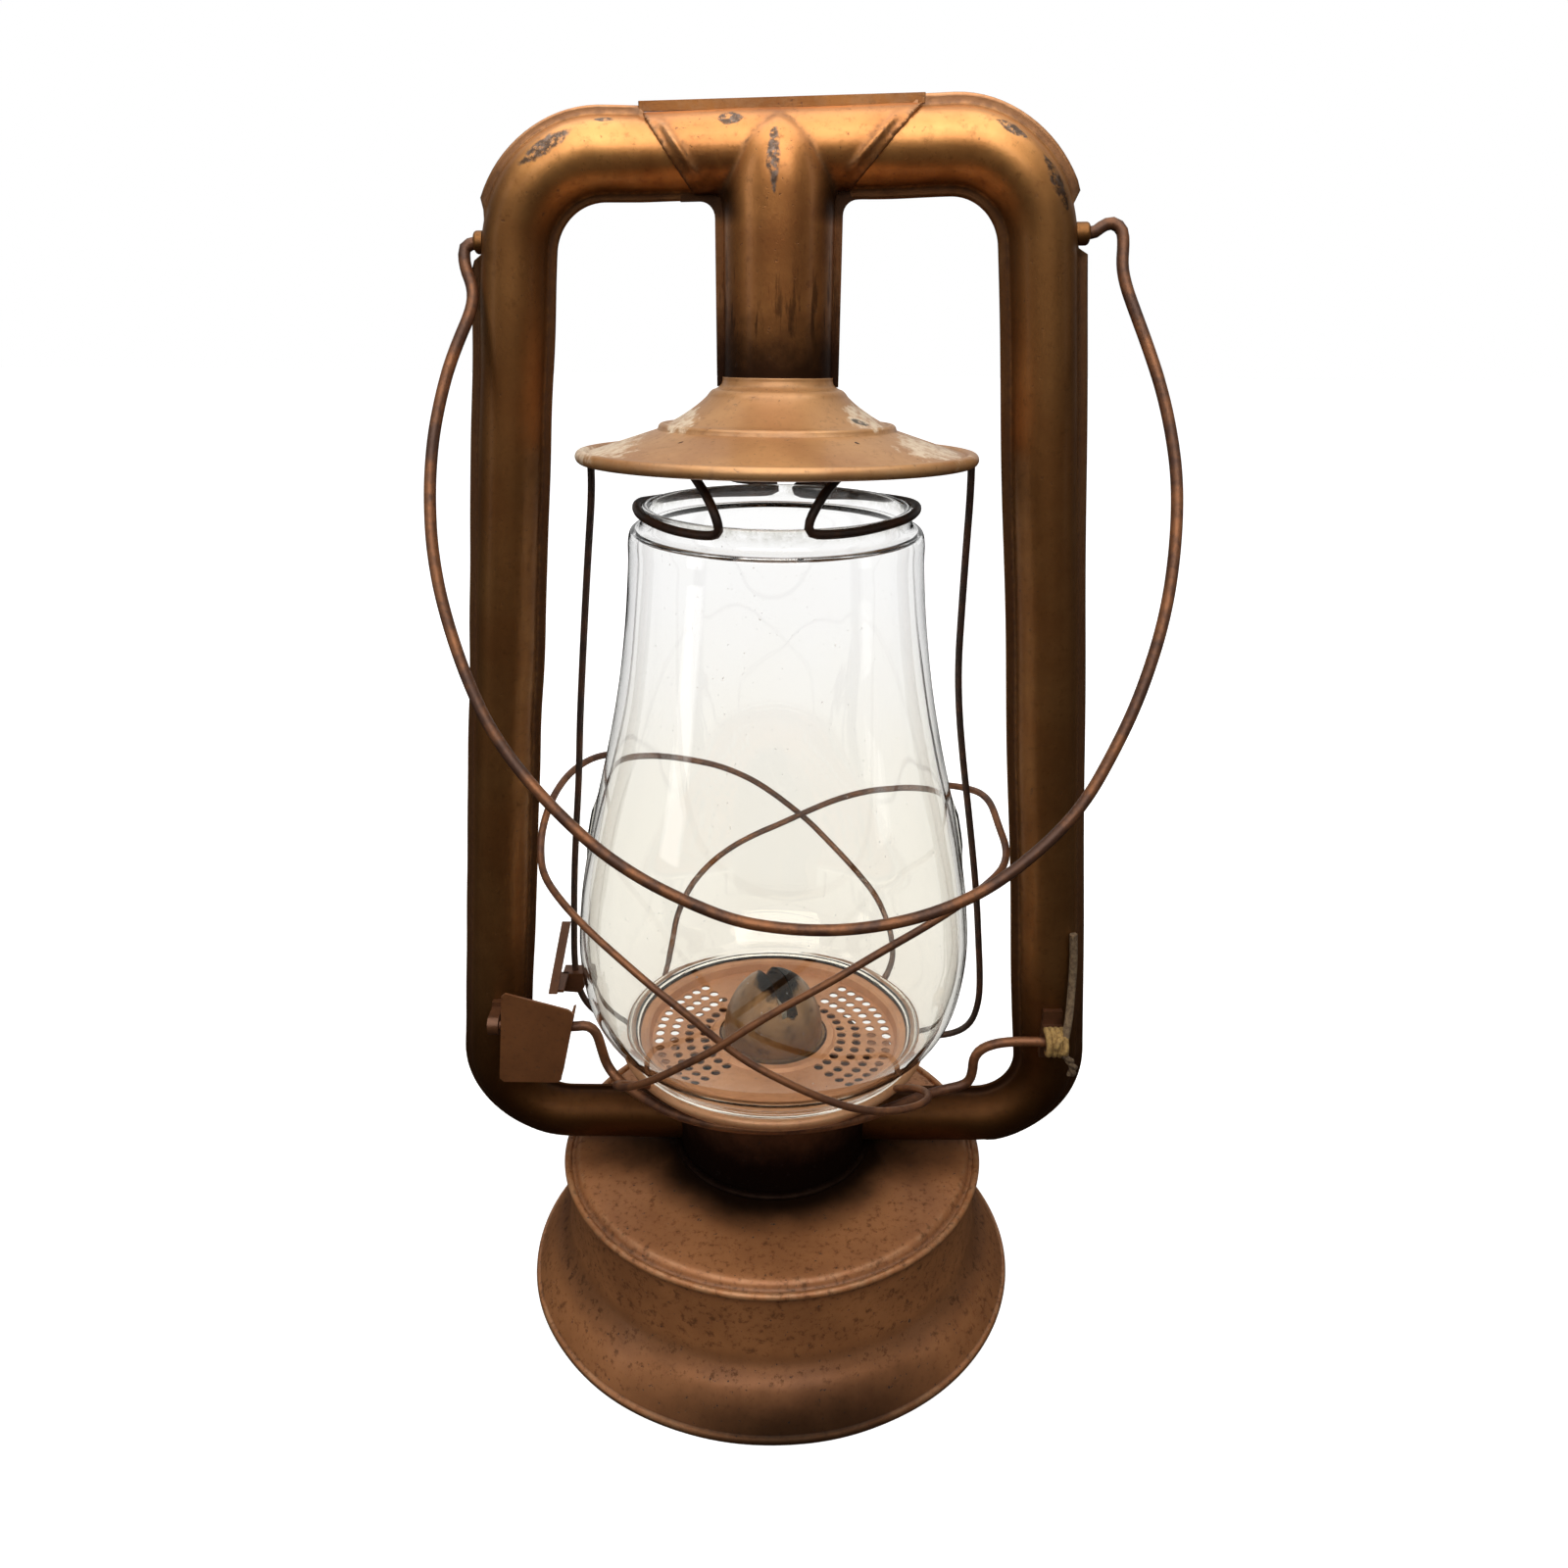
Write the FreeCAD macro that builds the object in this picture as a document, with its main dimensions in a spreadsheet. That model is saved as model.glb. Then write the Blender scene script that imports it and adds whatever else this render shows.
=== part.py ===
import FreeCAD, Part
import math
import os
import Sketcher
from FreeCAD import Placement, Rotation, Vector

# A wick lantern with a tubular frame, built as separate pieces at full size in millimetres.
# The origin is the middle of the foot on the ground, +Z is up, +X runs along the frame to the
# right-hand tube and -Y is the front, where the bail hangs.

document = FreeCAD.newDocument("tubular_lantern")
sheet = document.addObject("Spreadsheet::Sheet", "Sizes")

# Driving dimensions
DRIVING = (
    ("sheet_gauge", 0.6, "thickness of the pressed sheet"),
    ("foot_radius", 79.35, "outside of the rolled foot"),
    ("foot_bead", 1.45, "radius of the rolled foot"),
    ("foot_wear", 0.12, "depth that the ground has worn off the rolled foot"),
    ("fount_waist", 66.4, "outside of the fount's upright wall"),
    ("fount_height", 44.7, "top of the fount's rolled shoulder"),
    ("shoulder_radius", 67.7, "outside of the rolled shoulder"),
    ("shoulder_bead", 1.1, "radius of the rolled shoulder"),
    ("step_radius", 63.6, "raised step on the fount's top"),
    ("top_height", 46.9, "fount's top at the air chamber"),
    ("collar_radius", 17.4, "burner collar, outside"),
    ("filler_offset", 49.0, "filler from the middle"),
    ("filler_bearing", 50.0, "filler's bearing from +X in degrees"),
    ("filler_radius", 10.5, "filler neck, outside"),
    ("cap_radius", 12.2, "filler cap, outside"),
    ("chamber_foot", 29.8, "air chamber's radius at the fount"),
    ("chamber_radius", 30.6, "air chamber's radius at its deck"),
    ("chamber_top", 80.0, "height of the air chamber's deck"),
    ("tube_radius", 8.3, "side tubes, outside"),
    ("tube_gauge", 0.5, "wall of the side tubes"),
    ("fin_reach", 10.45, "left seams' edges from the tube's middle line"),
    ("fin_reach_right", 11.1, "the same for the right-hand tube"),
    ("fin_gauge", 0.9, "thickness of the folded seams"),
    ("run_height", 55.6, "middle of the tubes' lower runs"),
    ("crown_height", 335.9, "middle of the crown over the origin"),
    ("crown_rise", 0.0358, "rise of the crown to the right, per millimetre"),
    ("corner_left", 334.7, "corner of the left tube's middle line"),
    ("corner_right", 338.0, "corner of the right tube's middle line"),
    ("lower_corner", 90.1, "half width of the frame at the lower runs"),
    ("upper_corner", 62.8, "half width of the frame at the crown"),
    ("corner_radius", 23.0, "bend of the frame's corners"),
    ("crown_radius", 9.05, "crown's sleeve, outside"),
    ("stack_radius", 13.6, "central tube, outside"),
    ("stack_gauge", 0.55, "wall of the central tube and crown"),
    ("stack_foot", 281.8, "lower end of the central tube"),
    ("stack_fin", 15.5, "reach of the central tube's seams"),
    ("gusset_foot", 322.0, "where the central tube starts to round over"),
    ("gusset_top", 340.5, "top of the rounded gusset"),
    ("ear_height", 316.7, "bail's pivot line over the origin"),
    ("ear_rise", 0.0225, "rise of that line to the right, per millimetre"),
    ("ear_left", 74.8, "outer end of the bail's left ear"),
    ("ear_right", 76.0, "outer end of the bail's right ear"),
    ("ear_radius", 2.7, "bail's ears, outside"),
    ("bail_wire", 3.0, "bail wire"),
    ("bail_rest", 23.0, "bail's angle from straight down, to the front, in degrees"),
    ("neck_radius", 14.45, "canopy neck, outside"),
    ("neck_top", 284.2, "top of the canopy's neck"),
    ("canopy_gauge", 0.5, "canopy's sheet"),
    ("canopy_step", 30.7, "outside of the bead between the canopy's two slopes"),
    ("canopy_step_height", 271.9, "height of that bead"),
    ("canopy_radius", 52.1, "outside of the canopy's rolled rim"),
    ("canopy_rim_bead", 1.4, "radius of the canopy's rolled rim"),
    ("canopy_foot", 264.5, "middle of the canopy's rolled rim"),
    ("canopy_tilt", 3.0, "canopy's tilt in degrees, front up"),
    ("holder_wire", 2.3, "globe holder wires"),
    ("guide_wire", 2.0, "guide wires"),
    ("guard_wire", 2.1, "guard wires round the globe"),
    ("globe_wall", 2.2, "glass"),
    ("globe_foot", 46.4, "globe's foot, outside"),
    ("globe_foot_wall", 4.6, "glass at the foot"),
    ("globe_seat", 88.6, "height of the globe's foot"),
    ("globe_bulge", 58.6, "globe's widest radius"),
    ("globe_bulge_height", 122.0, "height of the widest place"),
    ("globe_shoulder", 39.5, "globe's shoulder, outside"),
    ("globe_shoulder_height", 243.5, "height of the shoulder"),
    ("globe_lip", 35.8, "globe's lip, outside"),
    ("globe_top", 252.0, "top of the lip"),
    ("plate_height", 85.6, "perforated flat of the globe plate"),
    ("plate_hole", 17.2, "hole for the burner in the globe plate"),
    ("plate_collar", 20.0, "raised ring round that hole, outside"),
    ("plate_edge", 38.6, "edge of the perforated flat"),
    ("rim_radius", 47.8, "outside of the globe plate's rolled rim"),
    ("rim_bead", 1.5, "radius of that rim"),
    ("skirt_foot", 83.6, "lower edge of the globe plate's skirt"),
    ("perforation", 2.9, "holes in the globe plate"),
    ("burner_radius", 15.2, "burner basket, outside"),
    ("cone_radius", 15.6, "burner dome, outside"),
    ("cone_foot", 87.0, "dome's lower edge"),
    ("cone_top", 108.6, "top of the dome"),
    ("flame_slot", 5.2, "slot over the wick"),
    ("wick_bearing", -65.0, "bearing of the wick's wide side from +X in degrees"),
    ("wick_width", 16.2, "wick"),
    ("wick_gauge", 2.6, "wick's thickness"),
    ("wick_foot", 11.0, "lower end of the wick"),
    ("wick_top", 99.0, "upper end of the wick"),
    ("spindle_height", 70.0, "wick raiser's shaft"),
    ("spindle_radius", 1.0, "wick raiser's shaft"),
    ("spur_radius", 4.0, "spur wheels, to the tips"),
    ("knob_radius", 7.2, "thumb wheel"),
    ("crank_wire", 3.0, "lifting crank"),
    ("crank_front", -15.5, "crank's pivot line in front of the frame"),
    ("crank_left", 98.65, "height of the pivot line at the left strap"),
    ("crank_right", 94.25, "height of the pivot line at the right strap"),
    ("lever_front", -17.8, "front of the lever plate"),
    ("lever_gauge", 0.8, "lever plate's sheet"),
)
for row, (alias, number, note) in enumerate(DRIVING, start=1):
    sheet.set(f"A{row}", alias)
    sheet.set(f"B{row}", str(number))
    sheet.set(f"C{row}", note)
    sheet.setAlias(f"B{row}", alias)
document.recompute()


class Size:
    """A length that carries its number and the spreadsheet formula that gives it."""

    def __init__(self, number, formula):
        self.number = float(number)
        self.formula = formula

    def __add__(self, other):
        other = as_size(other)
        return Size(self.number + other.number, f"({self.formula} + {other.formula})")

    def __sub__(self, other):
        other = as_size(other)
        return Size(self.number - other.number, f"({self.formula} - {other.formula})")

    def __mul__(self, other):
        other = as_size(other)
        return Size(self.number * other.number, f"({self.formula} * {other.formula})")

    def __neg__(self):
        return Size(-self.number, f"(-{self.formula})")

    def __float__(self):
        return self.number


def as_size(value):
    """A plain number as a size, and a size as it is."""
    if isinstance(value, Size):
        return value
    return Size(value, f"({float(value):g})")


class Driving:
    """The sheet's cells by name."""

    def __getattr__(self, alias):
        return Size(sheet.get(alias), f"Sizes.{alias}")


size = Driving()


# Sketches and bodies
def new_body(name):
    """An empty body whose label names its file."""
    body = document.addObject("PartDesign::Body", name)
    body.Label = name
    return body


def new_sketch(body, role, name):
    """A sketch on one of the body's own origin planes."""
    planes = [item for item in body.Origin.OriginFeatures if item.Role == role]
    sketch = body.newObject("Sketcher::SketchObject", name)
    sketch.AttachmentSupport = [(planes[0], "")]
    sketch.MapMode = "FlatFace"
    return sketch


def hold(sketch, kind, geometry, point, value):
    """Bind one coordinate of a sketch point to the sheet."""
    value = as_size(value)
    if abs(value.number) < 1e-9:
        axis = -2 if kind == "DistanceX" else -1
        sketch.addConstraint(Sketcher.Constraint("PointOnObject", geometry, point, axis))
        return
    index = sketch.addConstraint(Sketcher.Constraint(kind, -1, 1, geometry, point, value.number))
    sketch.setExpression(f".Constraints[{index}]", value.formula)


def closed_outline(sketch, corners):
    """Straight sides round the corners, each corner bound to the sheet."""
    points = [Vector(float(x), float(y), 0) for x, y in corners]
    count = len(points)
    for index in range(count):
        sketch.addGeometry(Part.LineSegment(points[index], points[(index + 1) % count]), False)
    for index in range(count):
        sketch.addConstraint(Sketcher.Constraint("Coincident", index, 2, (index + 1) % count, 1))
    for index, (x, y) in enumerate(corners):
        hold(sketch, "DistanceX", index, 1, x)
        hold(sketch, "DistanceY", index, 1, y)


def turned(name, outline):
    """A body turned about the Z axis from a closed outline of (radius, height) corners."""
    body = new_body(name)
    sketch = new_sketch(body, "XZ_Plane", name + "_outline")
    closed_outline(sketch, outline)
    turn = body.newObject("PartDesign::Revolution", name + "_turn")
    turn.Profile = sketch
    turn.ReferenceAxis = (sketch, ["V_Axis"])
    turn.Angle = 360
    body.Tip = turn
    return body


def padded(name, role, corners, near, length):
    """A body with straight sides, padded from a plane that lies `near` from the origin plane."""
    body = new_body(name)
    sketch = new_sketch(body, role, name + "_outline")
    sketch.AttachmentOffset = Placement(Vector(0, 0, float(near)), Rotation())
    closed_outline(sketch, corners)
    pad = body.newObject("PartDesign::Pad", name + "_pad")
    pad.Profile = sketch
    pad.setExpression("Length", as_size(length).formula)
    body.Tip = pad
    return body


def piece(name, shape, placement=None):
    """A piece made with boolean and sweep functions from sizes read off the sheet."""
    feature = document.addObject("Part::Feature", name)
    feature.Label = name
    feature.Shape = shape
    if placement is not None:
        feature.Placement = placement
    return feature


def cut_by(name, base, tools):
    """A piece made of another object's shape with holes cut in it."""
    shape = base.Shape.copy()
    before = shape.Volume
    shape = shape.cut(tools)
    if shape.Volume >= before:
        raise RuntimeError(name + ": nothing was cut")
    return shape


# Curved outlines and wires
def spline_edge(points):
    """A smooth edge through (radius, height) points in the XZ plane."""
    curve = Part.BSplineCurve()
    curve.interpolate([Vector(float(r), 0, float(z)) for r, z in points])
    return curve.toShape()


def offset_points(points, distance):
    """The points of a smooth outline moved inwards along its normals."""
    curve = Part.BSplineCurve()
    curve.interpolate([Vector(float(r), 0, float(z)) for r, z in points])
    moved = []
    for r, z in points:
        here = curve.parameter(Vector(float(r), 0, float(z)))
        along = curve.tangent(here)[0]
        inward = Vector(-abs(along.z), 0, along.x if along.z > 0 else -along.x)
        moved.append((float(r) + inward.x * distance, float(z) + inward.z * distance))
    return moved


def spun(edges):
    """A solid turned about the Z axis from edges that close in the XZ plane."""
    wire = Part.Wire(Part.__sortEdges__(edges))
    return Part.Face(wire).revolve(Vector(0, 0, 0), Vector(0, 0, 1), 360)


def domed_post(radius, foot, turn_over, top):
    """A round post from `foot` to `turn_over` with half an upright ellipsoid on it."""
    ellipse = Part.Ellipse(Vector(0, 0, top), Vector(radius, 0, turn_over), Vector(0, 0, turn_over))
    arc = Part.ArcOfEllipse(ellipse, 0, math.pi / 2).toShape()
    return spun([arc, line((radius, turn_over), (radius, foot)), line((radius, foot), (0, foot)),
                 line((0, foot), (0, top))])


def line(a, b):
    """A straight edge between (radius, height) points of the XZ plane."""
    return Part.LineSegment(Vector(float(a[0]), 0, float(a[1])), Vector(float(b[0]), 0, float(b[1]))).toShape()


def route(points, bend=None):
    """Straight runs joined by tangent arcs, through points in space; one bend radius, or as round as fits."""
    places = [Vector(*point) for point in points]
    points = places[:1]
    for index in range(1, len(places) - 1):
        before = places[index] - points[-1]
        if before.getAngle(places[index + 1] - places[index]) > math.radians(0.4):
            points.append(places[index])
    points.append(places[-1])
    edges = []
    start = points[0]
    for index in range(1, len(points) - 1):
        before = points[index - 1] - points[index]
        after = points[index + 1] - points[index]
        turn = math.pi - before.getAngle(after)
        reach = 0.45 * min(before.Length, after.Length)
        if bend is not None:
            reach = bend * math.tan(turn / 2)
        before.normalize()
        after.normalize()
        first = points[index] + before * reach
        last = points[index] + after * reach
        radius = reach / math.tan(turn / 2)
        centre_line = (before + after).normalize()
        middle = points[index] + centre_line * (radius / math.cos(turn / 2) - radius)
        edges.append(Part.LineSegment(start, first).toShape())
        edges.append(Part.Arc(first, middle, last).toShape())
        start = last
    edges.append(Part.LineSegment(start, points[-1]).toShape())
    return Part.Wire(edges)


def ring_at(path, radius):
    """A circle square to the start of a path."""
    start = path.Edges[0]
    origin = start.valueAt(start.FirstParameter)
    along = start.tangentAt(start.FirstParameter)
    return Part.Wire(Part.makeCircle(radius, origin, along))


def rod(path, radius):
    """A round wire along a path."""
    return path.makePipeShell([ring_at(path, radius)], True, False)


def polar(bearing, radius, height):
    """A point from its bearing in degrees, its radius and its height."""
    angle = math.radians(bearing)
    return (radius * math.cos(angle), radius * math.sin(angle), height)


# Fount
def build_fount():
    """The oil fount: wall with a flared foot, top, bottom, two rolled edges, collar and filler."""
    foot = float(size.foot_radius)
    waist = float(size.fount_waist)
    gauge = float(size.sheet_gauge)
    shoulder = float(size.fount_height)
    outer = [
        (waist + 0.5, shoulder - 2.1), (waist, shoulder - 4.7), (waist + 0.1, shoulder - 16.7),
        (waist + 0.7, 20.5), (foot - 10.75, 16.0), (foot - 7.5, 11.8), (foot - 3.95, 7.4),
        (foot - 1.6, 3.8), (foot - 1.15, 1.6)]
    inner = offset_points(outer, gauge)
    wall = spun([spline_edge(outer), spline_edge(inner), line(outer[0], inner[0]), line(outer[-1], inner[-1])])

    bead = document.addObject("Part::Torus", "foot_bead_whole")
    bead.setExpression("Radius1", "Sizes.foot_radius - Sizes.foot_bead")
    bead.setExpression("Radius2", "Sizes.foot_bead")
    bead.setExpression("Placement.Base.z", "Sizes.foot_bead - Sizes.foot_wear")
    ground = document.addObject("Part::Cylinder", "ground_under_foot")
    ground.setExpression("Radius", "Sizes.foot_radius + 10")
    ground.Height = 5
    ground.Placement.Base.z = -5
    worn = document.addObject("Part::Cut", "fount_foot_bead")
    worn.Base = bead
    worn.Tool = ground

    shoulder_bead = document.addObject("Part::Torus", "fount_shoulder_bead")
    shoulder_bead.setExpression("Radius1", "Sizes.shoulder_radius - Sizes.shoulder_bead")
    shoulder_bead.setExpression("Radius2", "Sizes.shoulder_bead")
    shoulder_bead.setExpression("Placement.Base.z", "Sizes.fount_height - Sizes.shoulder_bead")
    document.recompute()
    piece("fount_wall", wall.cut([bead.Shape, shoulder_bead.Shape]))

    gauge = size.sheet_gauge
    ledge = size.fount_height - 1.1
    top = turned("fount_top_whole", [
        (size.shoulder_radius - 2.0, ledge), (size.step_radius + 0.9, ledge),
        (size.step_radius, ledge + 1.9), (size.step_radius - 0.9, ledge + 2.3),
        (size.step_radius - 17.0, size.top_height - 0.4), (size.collar_radius + 13.0, size.top_height),
        (size.collar_radius, size.top_height), (size.collar_radius, size.top_height - gauge),
        (size.collar_radius + 13.0, size.top_height - gauge),
        (size.step_radius - 17.0, size.top_height - gauge - 0.4),
        (size.step_radius - 1.3, ledge + 2.3 - gauge), (size.step_radius - 0.6, ledge + 1.3),
        (size.step_radius + 0.4, ledge - gauge), (size.shoulder_radius - 2.0, ledge - gauge)])
    document.recompute()
    centre = Vector(*polar(size.filler_bearing.number, size.filler_offset.number, 0))
    hole = Part.makeCylinder(size.filler_radius.number, 20, centre + Vector(0, 0, 38))
    sheet_top = cut_by("fount_top", top, [hole, shoulder_bead.Shape])
    piece("fount_top", sheet_top)

    disc_edge = size.foot_radius - 1.9
    disc = turned("fount_bottom_whole", [
        (0, 3.2), (disc_edge, 3.2), (disc_edge, gauge + 3.2), (0, gauge + 3.2)])
    document.recompute()
    piece("fount_bottom", cut_by("fount_bottom", disc, wall))
    turned("burner_collar", [
        (size.collar_radius - 2.8, size.top_height - 2.4), (size.collar_radius, size.top_height - 2.4),
        (size.collar_radius, size.top_height + 3.6), (size.collar_radius - 2.8, size.top_height + 3.6)])

    neck_foot = size.top_height.number - 3.2
    neck_top = size.top_height.number + 3.9
    neck = Part.makeCylinder(size.filler_radius.number, neck_top - neck_foot, centre + Vector(0, 0, neck_foot))
    bore = Part.makeCylinder(size.filler_radius.number - 0.9, 20, centre + Vector(0, 0, 40))
    piece("filler_neck", neck.cut(bore))

    gasket_height = 1.0
    gasket = Part.makeCylinder(size.filler_radius.number - 0.1, gasket_height, centre + Vector(0, 0, neck_top))
    gasket_hole = Part.makeCylinder(size.filler_radius.number - 1.8, 20, centre + Vector(0, 0, 45))
    piece("filler_gasket", gasket.cut(gasket_hole))

    cap_foot = neck_top - 2.4
    cap_top = neck_top + gasket_height + 2.0
    cap = Part.makeCylinder(size.cap_radius.number, cap_top - cap_foot, centre + Vector(0, 0, cap_foot))
    inside_height = neck_top + gasket_height + 0.03 - cap_foot
    inside = Part.makeCylinder(size.filler_radius.number + 0.3, inside_height, centre + Vector(0, 0, cap_foot))
    cap = cap.cut(inside)
    top_edges = [edge for edge in cap.Edges if abs(edge.BoundBox.ZMin - cap_top) < 0.01]
    cap = cap.makeFillet(0.8, top_edges)
    notches = []
    for index in range(24):
        spot = Vector(*polar(index * 15, size.cap_radius.number + 0.35, cap_foot - 1))
        notches.append(Part.makeCylinder(0.8, cap_top - cap_foot - 0.4, centre + spot))
    piece("filler_cap", cap.cut(notches))


# Air chamber
def build_chamber():
    """The air chamber that the two tubes feed, with its foot ring and its deck."""
    gauge = size.tube_gauge
    whole = turned("chamber_wall_whole", [
        (size.chamber_foot - gauge, size.top_height), (size.chamber_foot, size.top_height),
        (size.chamber_radius, size.chamber_top), (size.chamber_radius - gauge, size.chamber_top)])
    document.recompute()
    run_start = Vector(-40, 0, size.run_height.number)
    runs = Part.makeCylinder(size.tube_radius.number, 80, run_start, Vector(1, 0, 0))
    piece("chamber_wall", cut_by("chamber_wall", whole, [runs, spindle_bore(1.3, 20, 40)]))
    ring = turned("chamber_foot_ring_whole", [
        (size.chamber_foot + 0.04, size.top_height), (size.chamber_foot + 2.1, size.top_height),
        (size.chamber_foot + 1.6, size.top_height + 1.3), (size.chamber_foot + 0.04, size.top_height + 1.6)])
    deck = turned("chamber_deck_whole", [
        (size.burner_radius + 0.5, size.chamber_top - gauge),
        (size.chamber_radius - gauge - 0.02, size.chamber_top - gauge),
        (size.chamber_radius - gauge - 0.02, size.chamber_top), (size.burner_radius + 0.5, size.chamber_top)])
    document.recompute()
    piece("chamber_foot_ring", cut_by("chamber_foot_ring", ring, runs))
    holes = [Part.makeCylinder(2.0, 10, Vector(*polar(index * 30, 23, 75))) for index in range(12)]
    piece("chamber_deck", cut_by("chamber_deck", deck, holes))


# Frame tubes and their seams
def crown_line(x):
    """Height of the crown's middle line."""
    return size.crown_height.number + size.crown_rise.number * x


def frame_route(side, first, last):
    """The middle line of one side of the frame, from the crown to the air chamber, with round corners."""
    joint = side * 33.0
    corner = (size.corner_left if side < 0 else size.corner_right).number
    top = side * size.upper_corner.number
    start = side * first
    if first < 33.0:
        points = [(start, 0, crown_line(start)), (joint, 0, crown_line(joint))]
    else:
        share = (start - joint) / (top - joint)
        points = [(start, 0, crown_line(joint) * (1 - share) + corner * share)]
    points += [(top, 0, corner), (side * size.lower_corner.number, 0, size.run_height.number),
               (side * last, 0, size.run_height.number)]
    return route(points, size.corner_radius.number)


def seam(side, first, last, inner, outer):
    """A folded seam that follows the tube between two distances from its middle line."""
    path = frame_route(side, first, last)
    half = size.fin_gauge.number / 2
    begin = path.Edges[0].valueAt(path.Edges[0].FirstParameter)
    start, height = begin.x, begin.z
    corners = [Vector(start, -half, height + inner), Vector(start, half, height + inner),
               Vector(start, half, height + outer), Vector(start, -half, height + outer)]
    profile = Part.makePolygon(corners + corners[:1])
    return path.makePipeShell([profile], True, False)


def build_side(side, word):
    """One side tube with its outer and inner seam and the ear for the bail."""
    path = frame_route(side, 20.0, 27.5)
    tube = rod(path, size.tube_radius.number)
    bore = rod(path, size.tube_radius.number - size.tube_gauge.number)
    rise = size.ear_rise.number
    ear_height = size.ear_height.number + rise * side * 75.0
    ear_spot = Vector(side * 60, 0, size.ear_height.number + rise * side * 60)
    outward = Vector(side, 0, side * rise)
    pin_bore = Part.makeCylinder(size.bail_wire.number / 2 + 0.09, 30, ear_spot, outward)
    piece("side_tube_" + word, tube.cut(bore).cut(pin_bore))

    reach = (size.fin_reach if side < 0 else size.fin_reach_right).number
    outer_seam = seam(side, 34.4, 60.0, size.tube_radius.number - 0.05, reach)
    ear_gap = Part.makeBox(20, 4, 9.0, Vector(side * 75 - 10, -2, ear_height - 4.5))
    lower_end = Part.makeBox(20, 4, 20, Vector(side * 60 - 10, -2, 40.0))
    piece("outer_seam_" + word, outer_seam.cut([ear_gap, lower_end]))
    piece("inner_seam_" + word, seam(side, 33.1, 31.2, -reach, -size.tube_radius.number + 0.05))

    length = (size.ear_left if side < 0 else size.ear_right).number - 68.0
    ear = Part.makeCylinder(size.ear_radius.number, length)
    ear = ear.makeFillet(0.9, [edge for edge in ear.Edges if edge.BoundBox.ZMin > length - 0.01])
    ear.Placement = Placement(Vector(side * 68.0, 0, size.ear_height.number + rise * side * 68.0),
                              Rotation(Vector(0, 0, 1), outward))
    piece("bail_ear_" + word, ear.cut([pin_bore, tube, bore]))


def build_crown():
    """The pressed crown with the central tube, and its folded seams."""
    height = size.crown_height.number
    gauge = size.stack_gauge.number
    stack = size.stack_radius.number
    foot = size.stack_foot.number
    turn_over = size.gusset_foot.number
    top = size.gusset_top.number
    rise = size.crown_rise.number
    start = Vector(-45, 0, crown_line(-45))
    sleeve = Part.makeCylinder(size.crown_radius.number, 90, start, Vector(1, 0, rise))
    left_top, right_top, left_low, right_low = -34.3, 35.4, -19.4, 15.5
    span = Part.Face(Part.makePolygon([
        Vector(left_top, -20, height + 11), Vector(right_top, -20, height + 11),
        Vector(right_low, -20, height - 11), Vector(left_low, -20, height - 11),
        Vector(left_top, -20, height + 11)])).extrude(Vector(0, 40, 0))
    sleeve = sleeve.common(span)

    outside = sleeve.fuse(domed_post(stack, foot, turn_over, top))
    inside = domed_post(stack - gauge, foot, turn_over, top - gauge)
    bore = Part.makeCylinder(size.tube_radius.number, 90, start, Vector(1, 0, rise))
    piece("crown", outside.cut(inside).cut(bore).removeSplitter())

    half = size.fin_gauge * 0.5
    roof = size.crown_height + size.crown_radius - 0.15
    ends = (-33.4, 34.3)
    low = [(x, roof + size.crown_rise * x) for x in ends]
    high = [(x, roof + 2.25 + size.crown_rise * x) for x in reversed(ends)]
    padded("crown_top_seam", "XZ_Plane", low + high, -0.7, 1.4)
    under = size.crown_height - size.crown_radius - 1.3
    for side, word in ((-1, "left"), (1, "right")):
        inner = (size.stack_radius - 0.05) * side
        reach = size.stack_fin * side
        outer = side * 33.0
        lift = size.crown_rise
        corner = under + lift * reach.number
        padded("crown_seam_" + word, "XZ_Plane", [
            (outer, under + 1.4 + lift * outer), (inner, under + 1.4 + lift * inner.number),
            (inner, size.stack_foot),
            (reach, size.stack_foot), (reach, corner - 3.4), (reach + side * 0.9, corner - 0.9),
            (reach + side * 3.4, corner + lift * (side * 3.4)), (outer, under + lift * outer)],
            -half.number, size.fin_gauge)


# Bail
def build_bail():
    """The carrying wire: it hangs in one plane and its ends turn in through the ears."""
    hang = [
        (-68.0, 0.0), (-76.9, 0.0), (-77.6, 3.2), (-76.8, 7.4), (-75.6, 10.2), (-75.2, 13.8), (-76.2, 17.9),
        (-78.7, 23.5), (-81.3, 30.2), (-83.4, 37.7), (-85.3, 47.0), (-86.2, 56.0), (-86.4, 64.0), (-86.1, 72.5),
        (-85.2, 80.0), (-83.8, 87.4), (-81.2, 97.0), (-77.4, 108.0), (-72.0, 120.0), (-62.5, 133.3),
        (-48.3, 147.8), (-36.3, 156.4), (-24.4, 162.5), (-12.5, 167.4), (-0.5, 169.4), (11.4, 170.0),
        (23.4, 168.9), (35.4, 166.2), (47.4, 161.3), (57.0, 154.9), (66.7, 146.6), (73.9, 138.3),
        (80.0, 127.7), (85.4, 117.0), (89.6, 106.2), (92.9, 95.5), (95.1, 84.7), (96.5, 72.0), (96.7, 60.0),
        (95.4, 48.8), (93.1, 37.8), (89.7, 27.1), (86.9, 19.2), (84.8, 13.0), (83.9, 8.0), (84.4, 2.6),
        (84.2, -1.0), (81.6, -2.9), (78.6, -1.4), (77.2, 0.0), (68.0, 0.0)]
    path = route([(x, 0, -drop) for x, drop in hang])
    lean = Rotation(Vector(0, 1, 0), -math.degrees(math.atan(size.ear_rise.number)))
    turn = lean.multiply(Rotation(Vector(1, 0, 0), -size.bail_rest.number))
    swing = Placement(Vector(0, 0, size.ear_height.number), turn)
    piece("bail", rod(path, size.bail_wire.number / 2), swing)


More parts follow.
